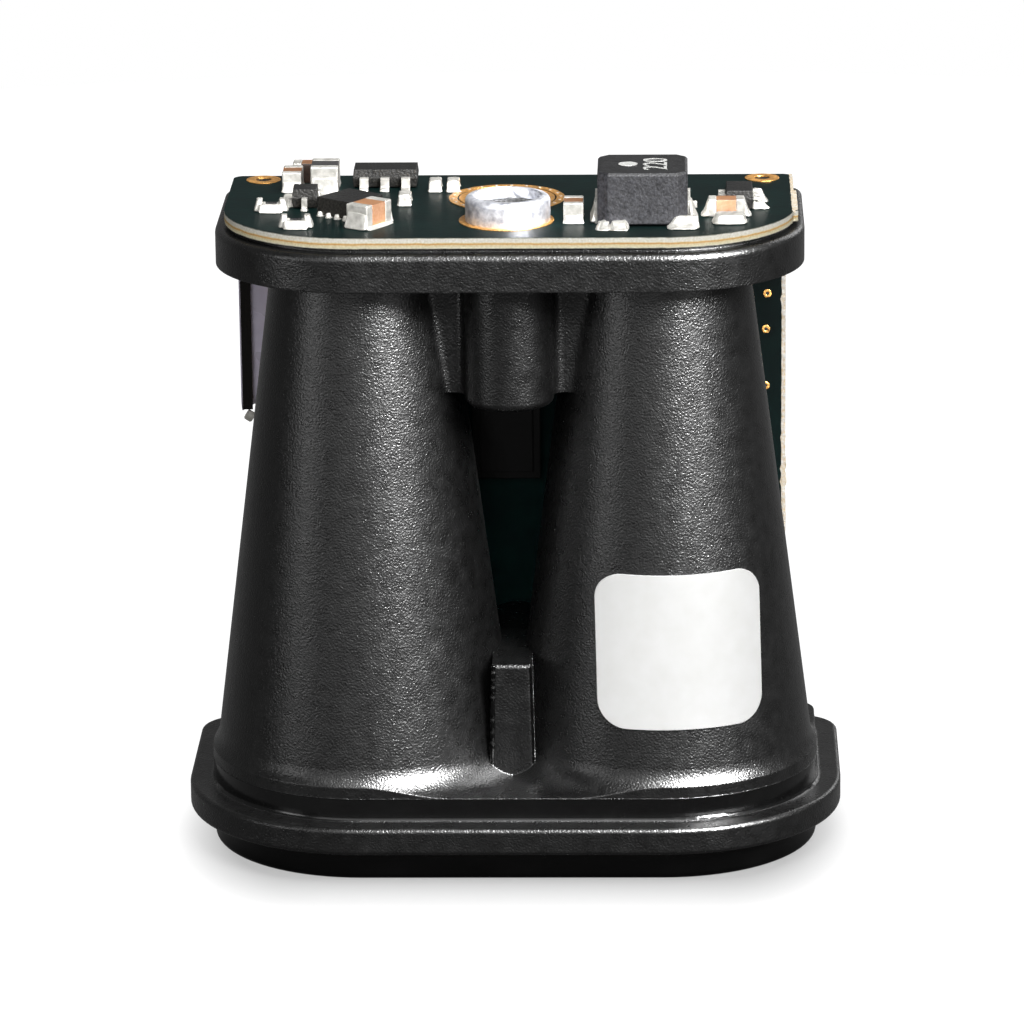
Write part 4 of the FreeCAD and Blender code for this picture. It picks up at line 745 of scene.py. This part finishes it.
def make_receptacle_tab():
    """The bent solder tab at the foot of the receptacle's mouth."""
    low = corners("receptacle_shell")[0]
    lean = Matrix.Translation((low.x + 0.42, 8.1, low.z - 0.02)) @ Matrix.Rotation(
        math.radians(32), 4, "Y")
    form = bmesh.new()
    loft(form, [[lean @ Vector((x * half, y, drop))
                 for x, y in ((-1, -0.07), (1, -0.07), (1, 0.07), (-1, 0.07))]
                for drop, half in ((0.12, 0.2), (-0.1, 0.21), (-0.3, 0.2), (-0.36, 0.14))])
    keep("receptacle_tab", form, "tin")


def make_receptacle_painted_shade():
    """A near-black sheet on the receptacle's front side, beside its mouth: painted shade."""
    low, high = corners("receptacle_shell")
    form = bmesh.new()
    loft(form, [[Vector((low.x + x, low.y + y, z)) for x, y in
                 ((0.07, -0.015), (0.54, -0.015), (0.54, 0.01), (0.07, 0.01))]
                for z in (low.z + 0.3, high.z - 0.3)])
    keep("receptacle_painted_shade", form, "hole_shade")


make_pads()
make_vias()
make_driver_solder()
make_cup()
make_ridges()
make_coil_marks()
make_torn_edge()
make_main_bare_edge()
make_driver_bare_edge()
make_receptacle_tab()
make_receptacle_painted_shade()
make_rib_edges()


# Studio

# What a glossy surface sees of the white: a share of the floor and a share of the room
FLOOR_IN_GLOSS, ROOM_IN_GLOSS = 0.15, 0.18

FLOOR_RADIUS = 170 * MM
SHADE_EDGES = (6.9, 12)     # the contact shade, from its darkest to where it ends
SHADE_LEFT = 0.46           # how white the floor is where the shade is darkest
SHADE_HALF_LENGTH = 9.5     # how far the shade keeps its width, left and right
SHADE_PINCH = 1.8           # how much faster it fades past that

# Soft boxes: turn to the right of the camera, rise, distance, width, height, power in
# watts, whether it lights matt surfaces, whether it shows in glossy ones
LAMPS = (
    ("key_box", 40, 16, 250, 150, 150, 0.18, True, True),
    ("top_box", 20, 62, 400, 200, 200, 1.1, True, True),
    ("fill_box", -12, 22, 500, 400, 400, 1.0, True, True),
    ("back_box", 185, 20, 500, 400, 400, 1.0, True, False),
    ("left_gloss", -56, 6, 300, 80, 160, 0.3, False, True),
    ("front_gloss", -8, 35, 100, 100, 30, 0.018, False, True),
    ("key_gloss", 40, 34, 180, 90, 70, 7.2, False, True),
    ("top_gloss", 48, 60, 400, 80, 100, 7.5, False, True),
    ("back_gloss", 150, 25, 500, 150, 300, 0.6, False, True),
)


def seen(tree, share):
    """How white the surroundings are for a ray: fully for the camera and through glass.

    Gloss takes a share of it, so that black plastic stays as dark as it is.
    """
    path = add(tree, "LightPath")
    gloss = add(tree, "Math", {0: path["Is Glossy Ray"], 1: share}, operation="MULTIPLY")[0]
    shown = add(tree, "Math", {0: path["Is Camera Ray"], 1: gloss}, operation="MAXIMUM")[0]
    return add(tree, "Math", {0: shown, 1: path["Is Transmission Ray"]},
               operation="MAXIMUM")[0]


def make_floor():
    """White paper, whose glow fades out of a painted contact shade round the sensor, and
    which can't be seen from below.
    """
    mesh = bpy.data.meshes.new("floor")
    form = bmesh.new()
    form.faces.new([form.verts.new(spot) for spot in circle(0, 0, 0, FLOOR_RADIUS, 96)])
    form.to_mesh(mesh)
    form.free()
    floor = bpy.data.objects.new("floor", mesh)
    scene.collection.objects.link(floor)
    material, tree = start_finish("white_paper")
    dim = add(tree, "BsdfDiffuse", {"Color": linear("#404040")})["BSDF"]
    paper = add(tree, "BsdfDiffuse", {"Color": linear("#707070")})["BSDF"]
    place = add(tree, "SeparateXYZ", {"Vector": add(tree, "TexCoord")["Object"]})
    aside = add(tree, "Math", {0: place["X"]}, operation="ABSOLUTE")[0]
    for operation, value in (("SUBTRACT", SHADE_HALF_LENGTH * MM), ("MAXIMUM", 0.0),
                             ("MULTIPLY", SHADE_PINCH)):
        aside = add(tree, "Math", {0: aside, 1: value}, operation=operation)[0]
    apart = add(tree, "CombineXYZ", {"X": aside, "Y": place["Y"]})["Vector"]
    far = add(tree, "VectorMath", {0: apart}, operation="LENGTH")["Value"]
    # The glow dims towards the sensor: painted contact shade, over the real shadow the paper
    # catches
    strength = add(tree, "MapRange", {
        "Value": far, "From Min": SHADE_EDGES[0] * MM, "From Max": SHADE_EDGES[1] * MM,
        "To Min": SHADE_LEFT, "To Max": 1.0})["Result"]
    lift = add(tree, "Emission", {"Color": WHITE, "Strength": strength})["Emission"]
    both = add(tree, "AddShader", {0: paper, 1: lift})[0]
    above = add(tree, "MixShader", {0: seen(tree, FLOOR_IN_GLOSS), 1: dim, 2: both})[0]
    mesh.materials.append(end_finish(material, add(tree, "MixShader", {
        0: add(tree, "NewGeometry")["Backfacing"], 1: above,
        2: add(tree, "BsdfTransparent")[0]})[0]))
    floor.location.z = -0.01 * MM


def make_room():
    """White towards the camera, and a dim grey room for light and reflections."""
    world = bpy.data.worlds.new("room")
    scene.world = world
    world.use_nodes = True
    tree = world.node_tree
    tree.nodes.clear()
    room = add(tree, "Background", {"Color": (0.03, 0.03, 0.03, 1), "Strength": 1.0})[0]
    white = add(tree, "Background", {"Color": WHITE, "Strength": 1.0})[0]
    add(tree, "OutputWorld", {"Surface": add(tree, "MixShader", {
        0: seen(tree, ROOM_IN_GLOSS), 1: room, 2: white})[0]})


def look_in(thing, middle, turn, rise, far, roll=0.0):
    """Stand a lamp or camera this turn, rise and distance out, looking at the middle."""
    turn, rise, roll = (math.radians(value) for value in (turn, rise, roll))
    out = Vector((math.sin(turn) * math.cos(rise), -math.cos(turn) * math.cos(rise),
                  math.sin(rise)))
    thing.location = (Vector(middle) + out * far) * MM
    thing.rotation_mode = "QUATERNION"
    thing.rotation_quaternion = ((-out).to_track_quat("-Z", "Y")
                                 @ Quaternion((0, 0, 1), -roll))


def make_lamp(name, turn, rise, far, wide, high, power, lights, gleams):
    """A soft box.

    One that only gleams draws highlights without lighting pale surfaces more, and one
    that only lights brightens the back without a glare on the boards.
    """
    lamp = bpy.data.lights.new(name, "AREA")
    lamp.shape = "RECTANGLE"
    lamp.size, lamp.size_y = wide * MM, high * MM
    lamp.energy = power
    thing = bpy.data.objects.new(name, lamp)
    scene.collection.objects.link(thing)
    thing.visible_diffuse, thing.visible_glossy = lights, gleams
    look_in(thing, (0, 0, 15), turn, rise, far)


def make_camera():
    """The camera of the picture: 16 degrees above the bench, almost straight on."""
    data = bpy.data.cameras.new("camera")
    data.lens, data.sensor_width = 206.3, 36
    data.clip_start, data.clip_end = 0.01, 10
    data.dof.use_dof = False
    camera = bpy.data.objects.new("camera", data)
    scene.collection.objects.link(camera)
    look_in(camera, (-0.025, 0, 15.221), 1.646, 16.127, 267.48, 0.604)
    scene.camera = camera


make_floor()
make_room()
for lamp in LAMPS:
    make_lamp(*lamp)
make_camera()
scene.view_settings.view_transform = "Standard"
